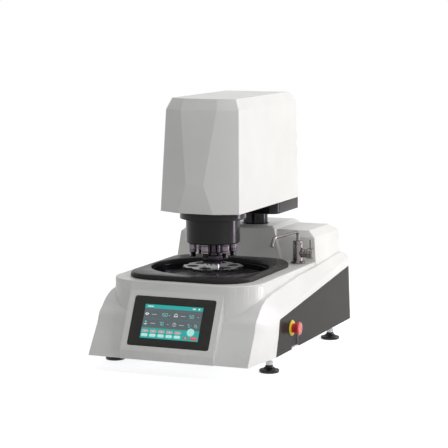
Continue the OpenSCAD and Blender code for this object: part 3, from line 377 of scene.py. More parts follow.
def lacquer(name, colour, roughness, peel=2e-5, coat=0.0, film=0.0, drift=0.05, gloss=0.5):
    """Sprayed lacquer over a moulding."""
    made = Finish(name)
    drifting = made.noise(5, 2).between(0.3, 0.7)
    tone = made.mixed(drifting, shaded(colour, 1 - drift), shaded(colour, 1 + drift / 3))
    if film:
        # A faint grey in patches, darker towards the floor, below about 11 cm.
        low = (1 - made.height().between(0.03, 0.11)) * made.noise(60, 5).between(0.4, 0.75)
        tone = made.mixed(low * film, tone, (0.42, 0.40, 0.37))
    wiped = made.noise(16, 4, (1, 1, 2.4)).between(0.35, 0.75)
    made.put(Base_Color=tone, Roughness=wiped * 0.09 + (roughness - 0.045), Coat_Weight=coat,
             Coat_Roughness=0.12, Specular_IOR_Level=gloss, Normal=made.bump(made.noise(750, 2), peel))
    return made


lacquer("white_paint", (0.80, 0.80, 0.785), 0.36, film=0.10)
lacquer("side_gloss", (0.034, 0.030, 0.027), 0.22, peel=3e-6, coat=0.0, drift=0.05, gloss=0.04)
lacquer("black_gloss", (0.013, 0.012, 0.014), 0.16, peel=6e-6, coat=0.0, drift=0.25, gloss=0.2)
lacquer("rim_black", (0.036, 0.034, 0.034), 0.28, peel=3e-6, coat=0.0, drift=0.1, gloss=0.05)
lacquer("panel_grey", (0.50, 0.51, 0.50), 0.42)
lacquer("red", (0.62, 0.022, 0.030), 0.30, peel=6e-6, coat=0.4)
lacquer("yellow", (0.80, 0.62, 0.03), 0.40)
lacquer("green", (0.045, 0.15, 0.06), 0.45)
print("lacquers", len(FINISHES))

# %% [markdown]
# Moulded plastic and rubber are dull. Their surface has the fine erosion of the mould, so
# the bump is made of two noises, a coarse and a fine one.

# %% Plastics and rubber


def plastic(name, colour, roughness, grain=3e-5, gloss=0.5):
    """Plastic or rubber from an eroded mould."""
    made = Finish(name)
    dust = made.noise(24, 5).between(0.45, 0.85)
    relief = made.noise(1400, 2) * 0.6 + made.noise(420, 3) * 0.4
    made.put(Base_Color=made.mixed(dust, colour, shaded(colour, 1.35)),
             Roughness=dust * 0.1 + roughness, Specular_IOR_Level=gloss,
             Normal=made.bump(relief, grain))
    return made


plastic("bezel_black", (0.024, 0.0235, 0.022), 0.34, 4e-6, 0.2)
plastic("matte_black", (0.009, 0.009, 0.0095), 0.5, 2e-5, 0.2)
plastic("rubber", (0.007, 0.007, 0.0075), 0.2, 1e-5, 0.4)
plastic("belt_rubber", (0.020, 0.020, 0.021), 0.75, 8e-5)
print("plastics done")

# %% [markdown]
# Bare metal is judged by its reflections. Turned parts carry fine rings around their axis
# and ground parts straight scratches. Both are a noise stretched along the tool's path: it
# bends the normal a little and makes the roughness change from line to line.

# %% Metals


def metal(name, colour, roughness, stretch=(1, 1, 30), scale=160, relief=4e-6, stain=0.12):
    """Ground or polished metal with its tool marks along the unstretched directions."""
    made = Finish(name)
    lines = made.noise(scale, 4, stretch)
    cloud = made.noise(14, 4).between(0.35, 0.8)
    made.put(Base_Color=made.mixed(cloud, colour, shaded(colour, 1 - stain)), Metallic=1.0,
             Roughness=lines * 0.08 + cloud * 0.05 + (roughness - 0.06),
             Normal=made.bump(lines, relief))
    return made


metal("stainless", (0.20, 0.187, 0.176), 0.2)
metal("chrome", (0.145, 0.126, 0.145), 0.12)
metal("aluminium", (0.47, 0.47, 0.48), 0.18, (1, 1, 1), 700)
metal("dark_steel", (0.045, 0.040, 0.047), 0.2)
metal("zinc", (0.52, 0.53, 0.55), 0.42, (1, 1, 1), 90, stain=0.3)
metal("cast", (0.30, 0.31, 0.32), 0.55, (1, 1, 1), 240, 3e-5, 0.3)
metal("brass", (0.62, 0.44, 0.16), 0.28)
print("metals done")

# %% [markdown]
# The working disc is a steel sheet that was ground flat while it turned. Its marks are
# rings, so the pattern is a function of the distance from the platen's axis.

# %% Ground disc
PLATEN_Y = -55.0
PLATEN_AXIS = (-MACHINE_MIDDLE[0], PLATEN_Y - MACHINE_MIDDLE[1])


def ringed(name, colour, roughness, axis, pitch, relief):
    """Metal with concentric grooves: sin(distance from the axis * pitch)."""
    made = Finish(name)
    radius = made.axis_radius((axis[0] / 1000, axis[1] / 1000, 0))
    rings = (radius * pitch).wave() * 0.5 + 0.5
    uneven = made.noise(30, 4).between(0.3, 0.8)
    made.put(Base_Color=made.mixed(uneven, colour, shaded(colour, 0.86)), Metallic=0.92,
             Roughness=uneven * 0.07 + rings * 0.03 + roughness,
             Normal=made.bump(rings * 0.5 + made.noise(900, 2) * 0.5, relief))
    return made


ringed("disc_grey", (0.095, 0.10, 0.11), 0.2, PLATEN_AXIS, 5200, 3e-7)
print("disc finish at", [round(v, 1) for v in PLATEN_AXIS])

# %% [markdown]
# The body is one white moulding with a nose that curves up into two fenders. Its cut-outs
# for the deck, the console and the panels are all in the CAD, so a rounded copy is used.

# %% Body, deck, panels and console
moulded("body_cover", "body_moulding", "white_paint", "base", 1.3)
moulded("deck", "deck_moulding", "white_paint", "base", 1.2)
moulded("console_frame", "console_moulding", "white_paint", "base", 1.6)
moulded("side_panel_right", "side_glass_right", "side_gloss", "base", 0.9)
moulded("side_panel_left", "side_glass_left", "side_gloss", "base", 0.9)
moulded("rear_housing", "mast_moulding", "white_paint", "base", 2.4)
moulded("rear_box_right", "rear_case_right", "white_paint", "base", 2.4)
moulded("rear_box_left", "rear_case_left", "white_paint", "base", 2.4)
print("mouldings in place")

# %% [markdown]
# The surround is a glossy black collar let into the deck. Each row of its grid blends from
# the bowl's circle to a rounded rectangle, because both are seen from the platen's axis as
# one distance per angle.

# %% Black surround
DECK_Z, RIM_H, BOWL_R = 220.6, 12.4, 150.0
RIM_HALF, RIM_FRONT, RIM_REAR, RIM_CORNER = 164, -248, 145, 84


def seen_from(outline, centre, angles):
    """Distance of a closed outline from a point inside it, for each angle: the outline is cut
    into short steps, so that interpolating between them keeps its straight sides straight."""
    closed = np.concatenate([outline, outline[:1]])
    share = np.linspace(0, 1, 25)[:-1, None, None]
    fine = (closed[None, :-1] * (1 - share) + closed[None, 1:] * share).reshape(-1, 2)
    way = fine - centre
    angle = np.arctan2(way[:, 1], way[:, 0])
    order = np.argsort(angle)
    return np.interp(angles, angle[order], np.hypot(*way.T)[order], period=2 * np.pi)


def collar(outline, centre, bore, levels, steps=256):
    """Rows of (share, inset, rise above the deck): share 0 is the bore, and 1 is the outline
    less its inset."""
    angles = np.linspace(-np.pi, np.pi, steps, endpoint=False)
    reach = seen_from(outline, centre, angles)
    rows = []
    for share, inset, rise in levels:
        r = bore + share * (reach - bore) - inset
        rows.append(np.stack([centre[0] + r * np.cos(angles), centre[1] + r * np.sin(angles),
                              np.full(steps, DECK_Z + rise)], -1))
    return skin(np.stack(rows + rows[:1]), ends=(False, False))


rim_outline = rounded_outline(RIM_HALF, RIM_FRONT, RIM_REAR, RIM_CORNER, RIM_CORNER, 24)
rim_levels = [(0, -9, 2.8), (0, 0, 2.8), (0, 0, 9.6), (0, -0.9, 11.6), (0, -3, RIM_H), (0.5, 0, RIM_H),
              (1, 6.4, RIM_H), (1, 4.2, RIM_H - 0.6), (1, 1.2, RIM_H - 3.2), (1, 0.2, RIM_H - 5.4),
              (1, 0, 1.4), (1, 0.9, 0.1), (1, 4, 0.1), (0, -9, 0.1)]
piece("surround_collar", [collar(rim_outline, np.array([0, PLATEN_Y]), BOWL_R, rim_levels)],
      "rim_black", "base", "bowl_surround", sharp=50)
print("surround levels", len(rim_levels))

# %% [markdown]
# Below it sit the bowl, the platen and the magnetic disc, all turned about one axis. The
# bowl keeps a ledge round the disc, which catches the water.

# %% Bowl, platen and disc
AXIS = (0, PLATEN_Y, 0)
bowl_wall = [(13, 189), (153, 189), (153, 220.4), (158.6, 220.4), (158.6, 222.9), (150, 222.9),
             (149.4, 205.6), (131, 205), (130, 192), (20, 192), (20, 195), (13, 195)]
piece("bowl_shell", [turned(bowl_wall, AXIS, reach=1.6, steps=160, shut=True)], "black_gloss",
      "base", "bowl", sharp=50)
platen_body = [(12.6, 196.2), (24, 196.2), (24.2, 200), (100, 198), (125, 196.6), (125, 207.9),
               (12.6, 207.9)]
piece("platen_wheel", [turned(platen_body, AXIS, reach=0.8, steps=160, shut=True)], "aluminium",
      "turntable", "platen")
piece("working_disc", [turned([(0, 208), (124.9, 208), (124.9, 210), (0, 210)], AXIS, reach=0.5,
                              steps=160)], "disc_grey", "turntable", "magnetic_disc")
print("bowl wall corners", len(bowl_wall))

# %% [markdown]
# The head is a faceted cover. Six corners in plan, at four heights, give its leaning sides
# and the narrow strip that widens down the middle of its front. Its rear top edge is
# rounded: the last rings step back by the height of a circle.

# %% Head cover
HEAD_Y, COLUMN_Y = -38.0, 262.0
HEAD_LOW, WAIST_Z, SHOULDER_Z, CROWN_RISE, HEAD_REAR = 377.5, 451, 633.4, 28.6, 305


def head_ring(z, half, corner, strip, front, rear):
    """Six corners at height z, listed from the rear left to the right and round the front."""
    return at_level([(-half, rear), (-half, corner), (-strip, front), (strip, front),
                     (half, corner), (half, rear)], z)


def head_rings(inset=0.0):
    """Rings from the lower edge to the crown. Over the crown, share s of the chamfer has
    risen while the rear has come in by 38 (1 - sqrt(1 - s^2))."""
    rear = HEAD_REAR - inset
    rings = [head_ring(HEAD_LOW, 107.3 - inset, -124.6 + inset, 47.0, -153 + inset, rear),
             head_ring(WAIST_Z, 104.9 - inset, -119.8 + inset, 24.0, -158.5 + inset, rear),
             head_ring(SHOULDER_Z, 98.8 - inset, -107.7 + inset, 48.5, -131 + inset, rear)]
    for s in (0.3, 0.55, 0.75, 0.9, 1.0):
        rings.append(head_ring(SHOULDER_Z + CROWN_RISE * s - inset, 98.8 - 12 * s - inset,
                               -107.7 + 11.7 * s + inset, 48.5 - 3.4 * s, -131 + 12.5 * s + inset,
                               rear - 38 * (1 - math.sqrt(1 - s * s))))
    return np.stack(rings)


cover = head_rings()
hollow = head_rings(3.0)
hollow[0, :, 2] = HEAD_LOW
COVER_EDGE, HOLLOW_EDGE = 2.2, 1.5
lower_rim = np.stack([eased(cover[0], COVER_EDGE, closed=True), eased(hollow[0], HOLLOW_EDGE, closed=True)])
piece("head_moulding", [faceted(cover, COVER_EDGE, 1.6, ends=(False, True)),
                        faceted(hollow, HOLLOW_EDGE, 1.0, ends=(False, True)),
                        skin(lower_rim, ends=(False, False))],
      "white_paint", "head", "head_cover", sharp=24)
print("head rings", cover.shape)

# %% [markdown]
# Under the head everything is black and steel. The arm plate clamps the column, the flange
# carries the bearings, and the drum holds six pushers. The drum keeps its CAD bores.

# %% Arm plate, column, flange and drum
piece("arm_casting", [slab(rounded_outline(107.3, 139, 302, 24, 1.0), 347.5, 377.4, 1.6, 1.6)],
      "black_gloss", "head", "arm_plate")
piece("lift_column", [turned([(0, 112), (33, 112), (33, 452), (0, 452)], (0, COLUMN_Y, 0), reach=1.2)],
      "black_gloss", "lift_column", "column")
HEAD_AXIS = (0, HEAD_Y, 0)
flange = [(28, 355), (84.8, 355), (84.8, 377.4), (28, 377.4)]
piece("bearing_ring", [turned(flange, HEAD_AXIS, reach=1.6, steps=128, shut=True)], "black_gloss",
      "head", "bearing_flange")
moulded("pusher_drum", "drum_body", "black_gloss", "mover", 1.2, sharp=40)
print("flange", flange[1])

# %% [markdown]
# A pusher is a chromed rod with a groove for its seal, a shoulder and a slimmer foot with a
# domed tip. The quick coupling above the holder has a knurled grip: a wave on the radius.

# %% Pushers and coupling
PUSHER_PCD, PUSHERS = 51.5, {3: 30, 4: 90, 5: 150, 6: 210, 1: 270, 2: 330}
rod = [(0, 346), (9.96, 346), (9.96, 290.5), (9.3, 290), (9.3, 288.4), (9.96, 288), (9.96, 275.6),
       (9.4, 275.2), (9.4, 274), (9.96, 273.6), (9.96, 269.8), (9.2, 269), (7.5, 269), (7.5, 258.2),
       (6.4, 256), (3.5, 255.55), (0, 255.5)]
for number, angle in PUSHERS.items():
    spot = (PUSHER_PCD * math.cos(math.radians(angle)),
            HEAD_Y + PUSHER_PCD * math.sin(math.radians(angle)), 0)
    piece(f"pusher_rod_{number}", [turned(rod, spot, reach=0.5, steps=48)], "chrome",
          f"pusher_{number}", f"pusher_{number}")
spindle = [(0, 232.2), (8, 232.2), (8, 247.4), (22.4, 247.4), (22.4, 293), (12, 293), (12, 432), (0, 432)]
piece("spindle_collar", [turned(spindle, HEAD_AXIS, reach=0.6)], "dark_steel", "mover", "head_spindle")


def knurl(angle, radius, height):
    """Sixty shallow flutes round the grip: 0.35 mm times the cosine of 60 a, only outside."""
    grip = (radius > 28) * (np.abs(height - 252) < 7.5)
    return 0.35 * (np.cos(60 * angle) - 1) * grip


sleeve = [(11, 240.1), (28.5, 240.1), (28.5, 243.4), (27.6, 244), (28.4, 244.8), (28.4, 259.2),
          (27.6, 260), (28.5, 260.8), (28.5, 268), (22.6, 268), (22.6, 241.2), (11, 241.2)]
piece("coupling_grip", [turned(sleeve, HEAD_AXIS, reach=0.5, steps=360, shut=True, wave=knurl)],
      "dark_steel", "sleeve", "coupling_sleeve", sharp=50)
moulded("specimen_holder", "holder_plate", "aluminium", "mover", 0.9, sharp=40)
moulded("holder_screws", "clamp_screws", "chrome", "mover", 0.35, sharp=40)
print("pushers", len(PUSHERS))

# %% [markdown]
# The tap is stainless: a flange on the deck, a post with a grooved cap, a valve lying across
# it, a lever hub with an upright pin, and a bent spout. The spout is a circle carried along
# its path, with the path's corners eased into bends.

# %% Tap
TAP = (161.6, 152.7)
VALVE_Z, SPOUT_REACH, SPOUT_DROP = 27.4, 118, 24


def pipe(path, radius, bend=14, side=(0, 1, 0), steps=28, ink=0):
    """A circle carried along a path in one plane: c + r (cos a side + sin a (side x way))."""
    line = eased(path, bend, 10)
    way = np.gradient(line, axis=0)
    way /= np.linalg.norm(way, axis=1, keepdims=True)
    side = np.array(side, float) / np.linalg.norm(side)
    over = np.cross(side, way)
    angle = np.linspace(0, 2 * np.pi, steps, endpoint=False)[None, :, None]
    radius = np.broadcast_to(radius, len(line))[:, None, None]
    return skin(line[:, None] + radius * (np.cos(angle) * side + np.sin(angle) * over[:, None]), ink=ink)


base = np.array([*TAP, DECK_Z])
post = [(0, 0.1), (19, 0.1), (19, 3.6), (17.2, 5), (14.6, 5.4), (13.5, 7), (13.5, 50), (12.9, 50.5),
        (12.9, 52), (13.5, 52.5), (13.5, 56.6), (11.4, 59.4), (4.8, 59.4), (4.8, 48), (0, 48)]
valve = [(0, 8), (11.5, 8), (11.5, 17), (10.6, 17.4), (10.6, 20.6), (11.5, 21), (11.5, 26.4), (0, 26.4)]
shank = [(0, -30), (9, -30), (9, 0.2), (0, 0.2)]
piece("tap_post", [turned(post, base, reach=0.8, steps=64), turned(shank, base, steps=48),
                   turned(valve, base + [0, 0, VALVE_Z], "x", 0.5, 64)], "stainless", "base", "tap_body")
heading = np.array([-0.2, -0.98, 0]) / math.hypot(0.2, 0.98)
tilt = math.radians(2)
bend_at = base + [0, 0, 84.4]
reach_end = bend_at + SPOUT_REACH * (heading * math.cos(tilt) + [0, 0, -math.sin(tilt)])
drop = math.radians(64)
spout_end = reach_end + SPOUT_DROP * (heading * math.cos(drop) + np.array([0, 0, -math.sin(drop)]))
path = np.stack([base + [0, 0, 47.6], bend_at, reach_end, spout_end])
sideways = np.cross(heading, (0, 0, 1))
lip_start = spout_end + (reach_end - spout_end) / SPOUT_DROP
lip = pipe(np.stack([lip_start, spout_end]), 5.2, 0.1, sideways)
piece("tap_spout_pipe", [pipe(path, 4.45, 12, sideways), lip], "stainless",
      "spout", "tap_spout", sharp=60)
hub = [(0, 0), (13, 0), (14, 1.2), (14, 6), (13.2, 6.5), (13.2, 9.5), (14, 10), (14, 15), (12.4, 17),
       (0, 17)]
pin = [(0, 0), (2.6, 0), (2.6, 27), (3.1, 28), (3.1, 35), (1.8, 37), (0, 37)]
hub_at = base + [26.7, 0, VALVE_Z]
piece("tap_lever_hub", [turned(hub, hub_at, "x", 0.5, 72), turned(pin, hub_at + [8.5, 0, 0], "z", 0.6, 32)],
      "stainless", "lever", "tap_lever")
print("spout ends at", spout_end.round(1))

# %% [markdown]
# The stop button is a red mushroom on a yellow plate; its skirt slides over a fixed guide.
# Under it the panel has a recess, with a black sheet of painted shade at its back and a
# pale grey strip of painted light on its far wall.
# The feet are rubber pads with a steel stud and a hexagon nut under the tray.

# %% Stop button and feet
STOP = (0, -71, 92)
plate = [(6.1, 224), (16.5, 224), (16.5, 226.6), (20, 227), (20, 228.4), (18.6, 230.2), (6.1, 230.4)]
guide = [(6.1, 229), (11.6, 229), (11.6, 238), (6.1, 238)]
neck = [(6.1, 211.6), (11, 211.6), (11, 226), (6.1, 226)]
piece("stop_plate", [turned(plate, STOP, "x", 0.5, 72, True), turned(neck, STOP, "x", 0.4, 48, True),
                     turned(guide, STOP, "x", 0.4, 48, True, ink=1)],
      ["yellow", "red"], "base", "estop_ring")
cap = [(0, 243), (11.9, 243), (11.9, 235.4), (12.9, 235.4), (13.2, 243.4), (15.6, 244), (16.5, 245.2),
       (16.5, 248), (15.2, 250), (11, 250.7), (4, 250.5), (0, 250.4)]
piece("stop_mushroom", [turned(cap, STOP, "x", 0.9, 72)], "red", "stop_button", "estop_button")
piece("stop_rod", [turned([(0, 196), (5.9, 196), (5.9, 246), (0, 246)], STOP, "x", 0.5, 40)], "zinc",
      "stop_stem", "estop_stem")


def block(x, y, z, ink=0):
    """A box between two values on each axis."""
    ring = [(y[0], z[0]), (y[1], z[0]), (y[1], z[1]), (y[0], z[1])]
    return skin(np.array([[(a, *corner) for corner in ring] for a in x]), ink=ink)


# Painted shade and light in the recess: a black sheet at its back, and a pale grey strip on its far wall.
NOTCH_X, NOTCH_Y, NOTCH_Z = (223.6, 223.9), (-74.8, -19.6), (38.3, 75.8)
painted_lit_far_wall = block((223.6, 227.3), (-19.5, -19.1), NOTCH_Z, ink=1)
piece("notch_painted_shade_and_light", [block(NOTCH_X, NOTCH_Y, NOTCH_Z), painted_lit_far_wall], ["matte_black", "panel_grey"], "base")
pad = [(0, 0), (23.6, 0), (25, 1.6), (25, 6.2), (23.4, 7.8), (17, 9), (11, 13.4), (9, 18), (0, 18)]
hexagon = 9.6 * np.stack([np.cos(np.arange(6) * np.pi / 3), np.sin(np.arange(6) * np.pi / 3)], -1)
FOOT_X, FOOT_FRONT, FOOT_REAR = 209, -181, 279.5
FEET = [(-FOOT_X, FOOT_FRONT), (FOOT_X, FOOT_FRONT), (FOOT_X, FOOT_REAR), (-FOOT_X, FOOT_REAR)]
for number, (x, y) in enumerate(FEET, 1):
    spot = np.array([x, y, 0.0])
    nut = np.stack([at_level(hexagon + (x, y), z) for z in (19, 19.2, 27, 27.2)])
    stud = turned([(0, 18), (6, 18), (6, 55), (0, 55)], spot, reach=0.4, steps=40, ink=1)
    skins = [turned(pad, spot, reach=1.0, steps=72), stud, faceted(nut, 0.6, 0.5, ink=1)]
    piece(f"foot_pad_{number}", skins, ["rubber", "zinc"], f"foot_{number}", f"foot_{number}")
print("feet", number)

# %% [markdown]
# The console's tilted face has its own directions: u across, v up the face and w out of it.
# Whatever is drawn on the display is first laid out in those three, then turned into place.

# %% Directions of the display face
FACE_TILT = math.radians(26.05)
FACE_CENTRE = np.array([0, -334 + 77 * math.sin(FACE_TILT), 59.5 + 77 * math.cos(FACE_TILT)])
ACROSS = np.array([1.0, 0, 0])
UP_FACE = np.array([0, math.sin(FACE_TILT), math.cos(FACE_TILT)])
OUT_OF_FACE = np.array([0, -math.cos(FACE_TILT), math.sin(FACE_TILT)])


def on_face(points):
    """Face millimetres (u, v, w) to the machine's: centre + u across + v up + w out."""
    points = np.asarray(points, float)
    return FACE_CENTRE + points @ np.stack([ACROSS, UP_FACE, OUT_OF_FACE])


def tile_outline(width, height, radius, centre=(0, 0), steps=6):
    """Rounded rectangle about a centre."""
    return rounded_outline(width / 2, -height / 2, height / 2, radius, radius, steps) + centre


def frame_of(outer, inner, low, high, rim=0.6):
    """A flat frame between two outlines with as many points, its outer rim rounded."""
    normal = outward(outer)
    rows = [(outer, low), (outer, high - rim), (outer - normal * rim * 0.3, high - rim * 0.3),
            (outer - normal * rim, high), (inner, high), (inner, low)]
    grid = np.stack([at_level(line, z) for line, z in rows + rows[:1]])
    return skin(on_face(grid), ends=(False, False))


BEZEL, SCREEN = (215.0, 126.0), (154.1, 86.0)
piece("display_glass_frame", [frame_of(tile_outline(*BEZEL, 6), tile_outline(*SCREEN, 0.6), -1.9, 0.5)],
      "bezel_black", "base", "display_bezel")
print("face centre", FACE_CENTRE.round(1))

# %% [markdown]
# The lit picture is made of thin tiles. Each tile is an outline in face millimetres with its
# own colour, stored as a colour attribute of the mesh, and one material shines with it.
# Only plain numbers and simple signs are drawn.

# %% Tiles of the picture
TEAL, SLATE, LINE, PALE = (0.0, 0.38, 0.35), (0.078, 0.105, 0.117), (0.10, 0.20, 0.20), (0.38, 0.80, 0.72)
WHITE, PINK, RED, GLOW = (0.80, 0.83, 0.82), (0.42, 0.31, 0.31), (0.72, 0.02, 0.06), (0.16, 0.52, 0.49)
GREY, CREAM, DIM = (0.20, 0.19, 0.19), (0.62, 0.66, 0.50), (0.42, 0.45, 0.45)
tiles = []


def tile(outline, colour, lift):
    """One flat tile at a height above the glass."""
    tiles.append((np.asarray(outline, float), colour, lift))


def spot_on(across, down):
    """Place on the screen from shares of its width and height, from its top left corner."""
    return np.array([(across - 0.5) * SCREEN[0], (0.5 - down) * SCREEN[1]])


def pill(across, down, width, height, colour, lift, radius=None):
    radius = height / 2 - 0.01 if radius is None else radius
    tile(tile_outline(width, height, radius, spot_on(across, down)), colour, lift)


def disc(across, down, radius, colour, lift):
    pill(across, down, 2 * radius, 2 * radius, colour, lift)


def band(top, bottom, colour, lift):
    """A full-width band between two shares of the height."""
    pill(0.5, (top + bottom) / 2, SCREEN[0] - 0.02, (bottom - top) * SCREEN[1], colour, lift, 0.3)


SEGMENTS = {"0": "abcdef", "1": "bc", "2": "abged", "3": "abgcd", "5": "afgcd", "7": "abc"}
SEGMENT_AT = {"a": (0, 1, 0), "g": (0, 0, 0), "d": (0, -1, 0), "f": (-1, 0.5, 1), "b": (1, 0.5, 1),
              "e": (-1, -0.5, 1), "c": (1, -0.5, 1)}


def figures(number, across, down, tall, colour, lift):
    """Plain seven-segment figures: each bar is a small rounded tile."""
    half, thick = tall / 2, tall / 7
    for place, figure in enumerate(number):
        middle = spot_on(across, down) + (place * tall * 0.72, 0)
        for bar in SEGMENTS.get(figure, ""):
            x, y, upright = SEGMENT_AT[bar]
            size = (thick, half * 0.92) if upright else (half * 0.72, thick)
            tile(tile_outline(*size, thick * 0.35, middle + (x * half * 0.48, y * half * 0.9)), colour, lift)
        if figure == ":":
            for y in (-0.35, 0.35):
                tile(tile_outline(thick, thick, thick * 0.4, middle + (0, y * half)), colour, lift)


band(0, 1, SLATE, 0.0)
band(0, 0.115, TEAL, 0.05)
band(0.69, 1, TEAL, 0.05)
pill(0.095, 0.058, 16, 2.6, WHITE, 0.1)
pill(0.845, 0.058, 8, 3.0, WHITE, 0.1, 0.8)
pill(0.93, 0.058, 4.2, 4.2, WHITE, 0.1, 1.0)
READINGS = [(0.245, 0.285, "150"), (0.74, 0.285, "50"), (0.245, 0.55, "70"), (0.74, 0.55, "5:15")]
for across, down, value in READINGS:
    pill(across, down, 71, 20, LINE, 0.05, 2)
    pill(across, down, 70, 19, SLATE, 0.1, 1.6)
    figures(value, across + 0.06, down, 9.0, GLOW, 0.15)
    pill(across - 0.065, down + 0.005, 13, 1.7, DIM, 0.15, 0.6)
    pill(across + 0.195, down + 0.005, 3.4, 1.7, DIM, 0.15, 0.6)
tile([spot_on(0.055, 0.285) + p for p in ((-6, 0), (0, -4), (6, 0), (0, 4))], WHITE, 0.15)
disc(0.055, 0.285, 1.6, SLATE, 0.2)
disc(0.553, 0.275, 4.2, WHITE, 0.15)
pill(0.553, 0.315, 11, 1.6, WHITE, 0.15)
disc(0.553, 0.275, 2.8, SLATE, 0.2)
disc(0.055, 0.515, 2.6, GLOW, 0.15)
tile([spot_on(0.055, 0.57) + p for p in ((-6, 1), (0, -3.4), (6, 1), (0, -0.6))], WHITE, 0.15)
disc(0.553, 0.55, 4.6, WHITE, 0.15)
disc(0.553, 0.55, 3.7, SLATE, 0.2)
pill(0.553, 0.54, 0.8, 3.2, WHITE, 0.25, 0.3)
for place in range(5):
    across = 0.07 + 0.141 * place
    pill(across, 0.785, 18, 7.4, PINK, 0.1)
    pill(across, 0.785, 16.6, 6.0, (0.50, 0.37, 0.36), 0.15)
    pill(across, 0.905, 18, 7.8, PALE, 0.1)
    pill(across, 0.895, 14, 4.0, (0.50, 0.86, 0.79), 0.15)
    disc(across, 0.785, 1.5, CREAM if place % 2 == 0 else PALE, 0.2)
    disc(across, 0.905, 1.3, CREAM, 0.2)
pill(0.778, 0.915, 16.5, 7.6, GREY, 0.1)
disc(0.778, 0.915, 1.8, CREAM, 0.2)
pill(0.918, 0.915, 18, 7.8, RED, 0.1)
pill(0.918, 0.905, 12, 1.6, (0.86, 0.30, 0.32), 0.15)
disc(0.85, 0.74, 10.2, (0.20, 0.60, 0.55), 0.1)
disc(0.85, 0.74, 9.3, PALE, 0.15)
print("tiles", len(tiles))

# %% [markdown]
# The tiles become one mesh: every tile is a short prism, so that the display stays a closed
# shape when it is printed or exported. The module behind the glass is part of it.

# %% Lit display
GLASS_W = -0.9


def prism(outline, low, high):
    """A flat prism on the display face."""
    return skin(on_face(np.stack([at_level(outline, low), at_level(outline, high)])))


picture, colours = [], []
for outline, colour, lift in tiles:
    points, faces, _ = prism(outline, GLASS_W - 0.2 + lift, GLASS_W + lift)
    picture.append((points, faces, 0))
    colours += [colour] * len(faces)
module = prism(tile_outline(180, 92, 2), -13, -2.1)
picture.append((module[0], module[1], 1))
colours += [(0.03, 0.03, 0.03)] * len(module[1])

lit = Finish("screen")
ink = lit.node("ShaderNodeAttribute", {"attribute_name": "ink"}, out=0)
glare = lit.noise(40, 3) * 0.04
lit.put(Base_Color=lit.mixed(0.9, ink, (0.01, 0.01, 0.01)),
        Emission_Color=ink, Emission_Strength=0.85, Roughness=glare + 0.2)
screen = piece("display_picture", picture, ["screen", "matte_black"], "base", "touch_screen", sharp=20)
ink_layer = screen.data.attributes.new("ink", "FLOAT_COLOR", "CORNER")
face_colour = np.array([(*c, 1.0) for c in colours])
corner_face = np.repeat(np.arange(len(screen.data.polygons)),
                        np.array([len(p.vertices) for p in screen.data.polygons]))
print("display faces", len(screen.data.polygons), "colours", len(face_colour))
ink_layer.data.foreach_set("color", face_colour[corner_face].ravel())

# %% [markdown]
# The pieces that are only seen from behind, from below or through a gap keep their CAD
# shapes. They get their real finishes, or a rounded copy where they stand out.

# %% Rear panel, connections and inner parts
moulded("rear_panel", "service_panel", "panel_grey", "base", 0.5)
moulded("power_inlet", "inlet_socket", "matte_black", "base", 0.6)
moulded("water_inlet", "water_stub", "brass", "base", 0.5)
moulded("drain_pipe", "drain_tube", "matte_black", "base", 0.5, sharp=40)
moulded("cover_screws", "panel_screws", "zinc", "base", 0.5)
INNER = {"zinc": ["base_frame", "head_frame"], "cast": ["bearing_housing", "column_guide"],
         "chrome": ["platen_bearings", "head_bearings"], "dark_steel": ["platen_spindle"],
         "aluminium": ["driven_pulley", "motor_pulley", "air_manifold", "lift_cylinder"],
         "belt_rubber": ["drive_belt"], "matte_black": ["platen_motor", "head_motor"],
         "panel_grey": ["controller"], "green": ["estop_block"]}
for finish, names in INNER.items():
    for name in names:
        own = nodes[name]
        for place in range(max(1, len(own.material_slots))):
            if place < len(own.material_slots):
                own.material_slots[place].material = FINISHES[finish]
            else:
                own.data.materials.append(FINISHES[finish])
print("inner parts", sum(map(len, INNER.values())))

# %% [markdown]
# The machine stands on a plain white floor in a plain white studio. The floor shows its own
# white to the camera and in reflections, with the machine's soft shadow on it, and lights the
# machine only as a pale floor would. The main light stands at the right and a little behind,
# as the bright right faces show. A slim lilac lamp beside it is only seen in reflections: it
# draws the upright streaks on the drum, the column and the pushers.

# %% Floor, studio and lamps
FLOOR_GLOW, STUDIO_LIGHT = 0.74, 0.325
floor_mesh = bpy.data.meshes.new("floor")
floor_mesh.from_pydata([(-9, -9, 0), (9, -9, 0), (9, 9, 0), (-9, 9, 0)], [], [(0, 1, 2, 3)])
floor = bpy.data.objects.new("floor", floor_mesh)
bpy.context.scene.collection.objects.link(floor)
ground = Finish("studio_floor")
ground.put(Base_Color=(0.80, 0.80, 0.80), Roughness=0.9, Specular_IOR_Level=0.0)
path = ground.node("ShaderNodeLightPath")
seen = ground.node("ShaderNodeMath", {"operation": "MAXIMUM"},
                   {0: path, 1: Wire(ground, path.socket.node.outputs["Is Glossy Ray"])})
seen = ground.node("ShaderNodeMath", {"operation": "MAXIMUM"},
                   {0: seen, 1: Wire(ground, path.socket.node.outputs["Is Transmission Ray"])})
glow = ground.node("ShaderNodeEmission", {}, {"Color": (1, 1, 1, 1), "Strength": seen * FLOOR_GLOW})
added = ground.node("ShaderNodeAddShader", {}, {0: Wire(ground, ground.shader.outputs[0]), 1: glow})
ground.feed(ground.tree.nodes["Material Output"].inputs["Surface"], added)
floor_mesh.materials.append(ground.material)

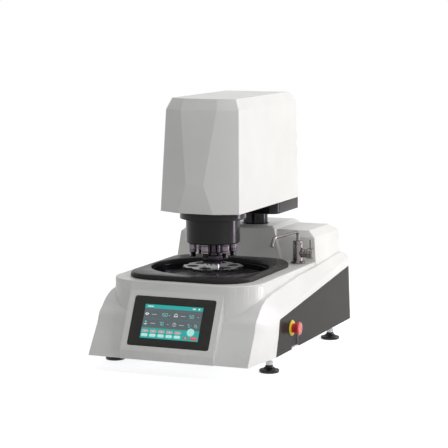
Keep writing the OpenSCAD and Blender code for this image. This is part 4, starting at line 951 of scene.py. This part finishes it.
world = bpy.data.worlds.new("studio")
bpy.context.scene.world = world
world.use_nodes = True
sky = world.node_tree
background = sky.nodes["Background"]
rays = sky.nodes.new("ShaderNodeLightPath")
brightest = rays.outputs["Is Camera Ray"]
for ray in ("Is Glossy Ray", "Is Transmission Ray"):
    either = sky.nodes.new("ShaderNodeMath")
    either.operation = "MAXIMUM"
    sky.links.new(brightest, either.inputs[0])
    sky.links.new(rays.outputs[ray], either.inputs[1])
    brightest = either.outputs[0]
level = sky.nodes.new("ShaderNodeMapRange")
level.inputs["To Min"].default_value, level.inputs["To Max"].default_value = STUDIO_LIGHT, 1.0
sky.links.new(brightest, level.inputs["Value"])
sky.links.new(level.outputs[0], background.inputs["Strength"])
background.inputs["Color"].default_value = (1, 1, 1, 1)


def softbox(name, place, aim, size, power, colour=(1, 1, 1)):
    """A rectangular lamp turned towards a point."""
    lamp = bpy.data.lights.new(name, "AREA")
    lamp.shape, lamp.size, lamp.size_y = "RECTANGLE", *size
    lamp.energy, lamp.color = power, colour
    hung = bpy.data.objects.new(name, lamp)
    hung.location = place
    way = np.array(aim) - np.array(place)
    turn = math.atan2(way[1], way[0])
    hung.rotation_euler = Euler((math.acos(-way[2] / np.linalg.norm(way)), 0, turn - math.pi / 2))
    bpy.context.scene.collection.objects.link(hung)
    return hung


WARM, LILAC = (1.0, 0.97, 0.94), (0.84, 0.70, 0.90)
key = softbox("key", place=(1.98, 1.24, 1.15), aim=(0, 0, 1.15), size=(0.64, 2.2), power=33, colour=WARM)
key.visible_glossy = False
glint = softbox("glint", place=(1.44, 0.90, 1.04), aim=(0, 0, 1.04), size=(0.34, 2.0), power=25,
                colour=LILAC)
glint.visible_diffuse = False
fill = softbox("fill", place=(2.8, -1.0, 1.2), aim=(0, 0, 0.35), size=(1.2, 1.2), power=21)
fill.visible_glossy = False
softbox("top", place=(0, -0.4, 3.2), aim=(0, 0, 0.2), size=(1.8, 1.8), power=15)
bpy.context.scene.view_settings.view_transform = "Standard"
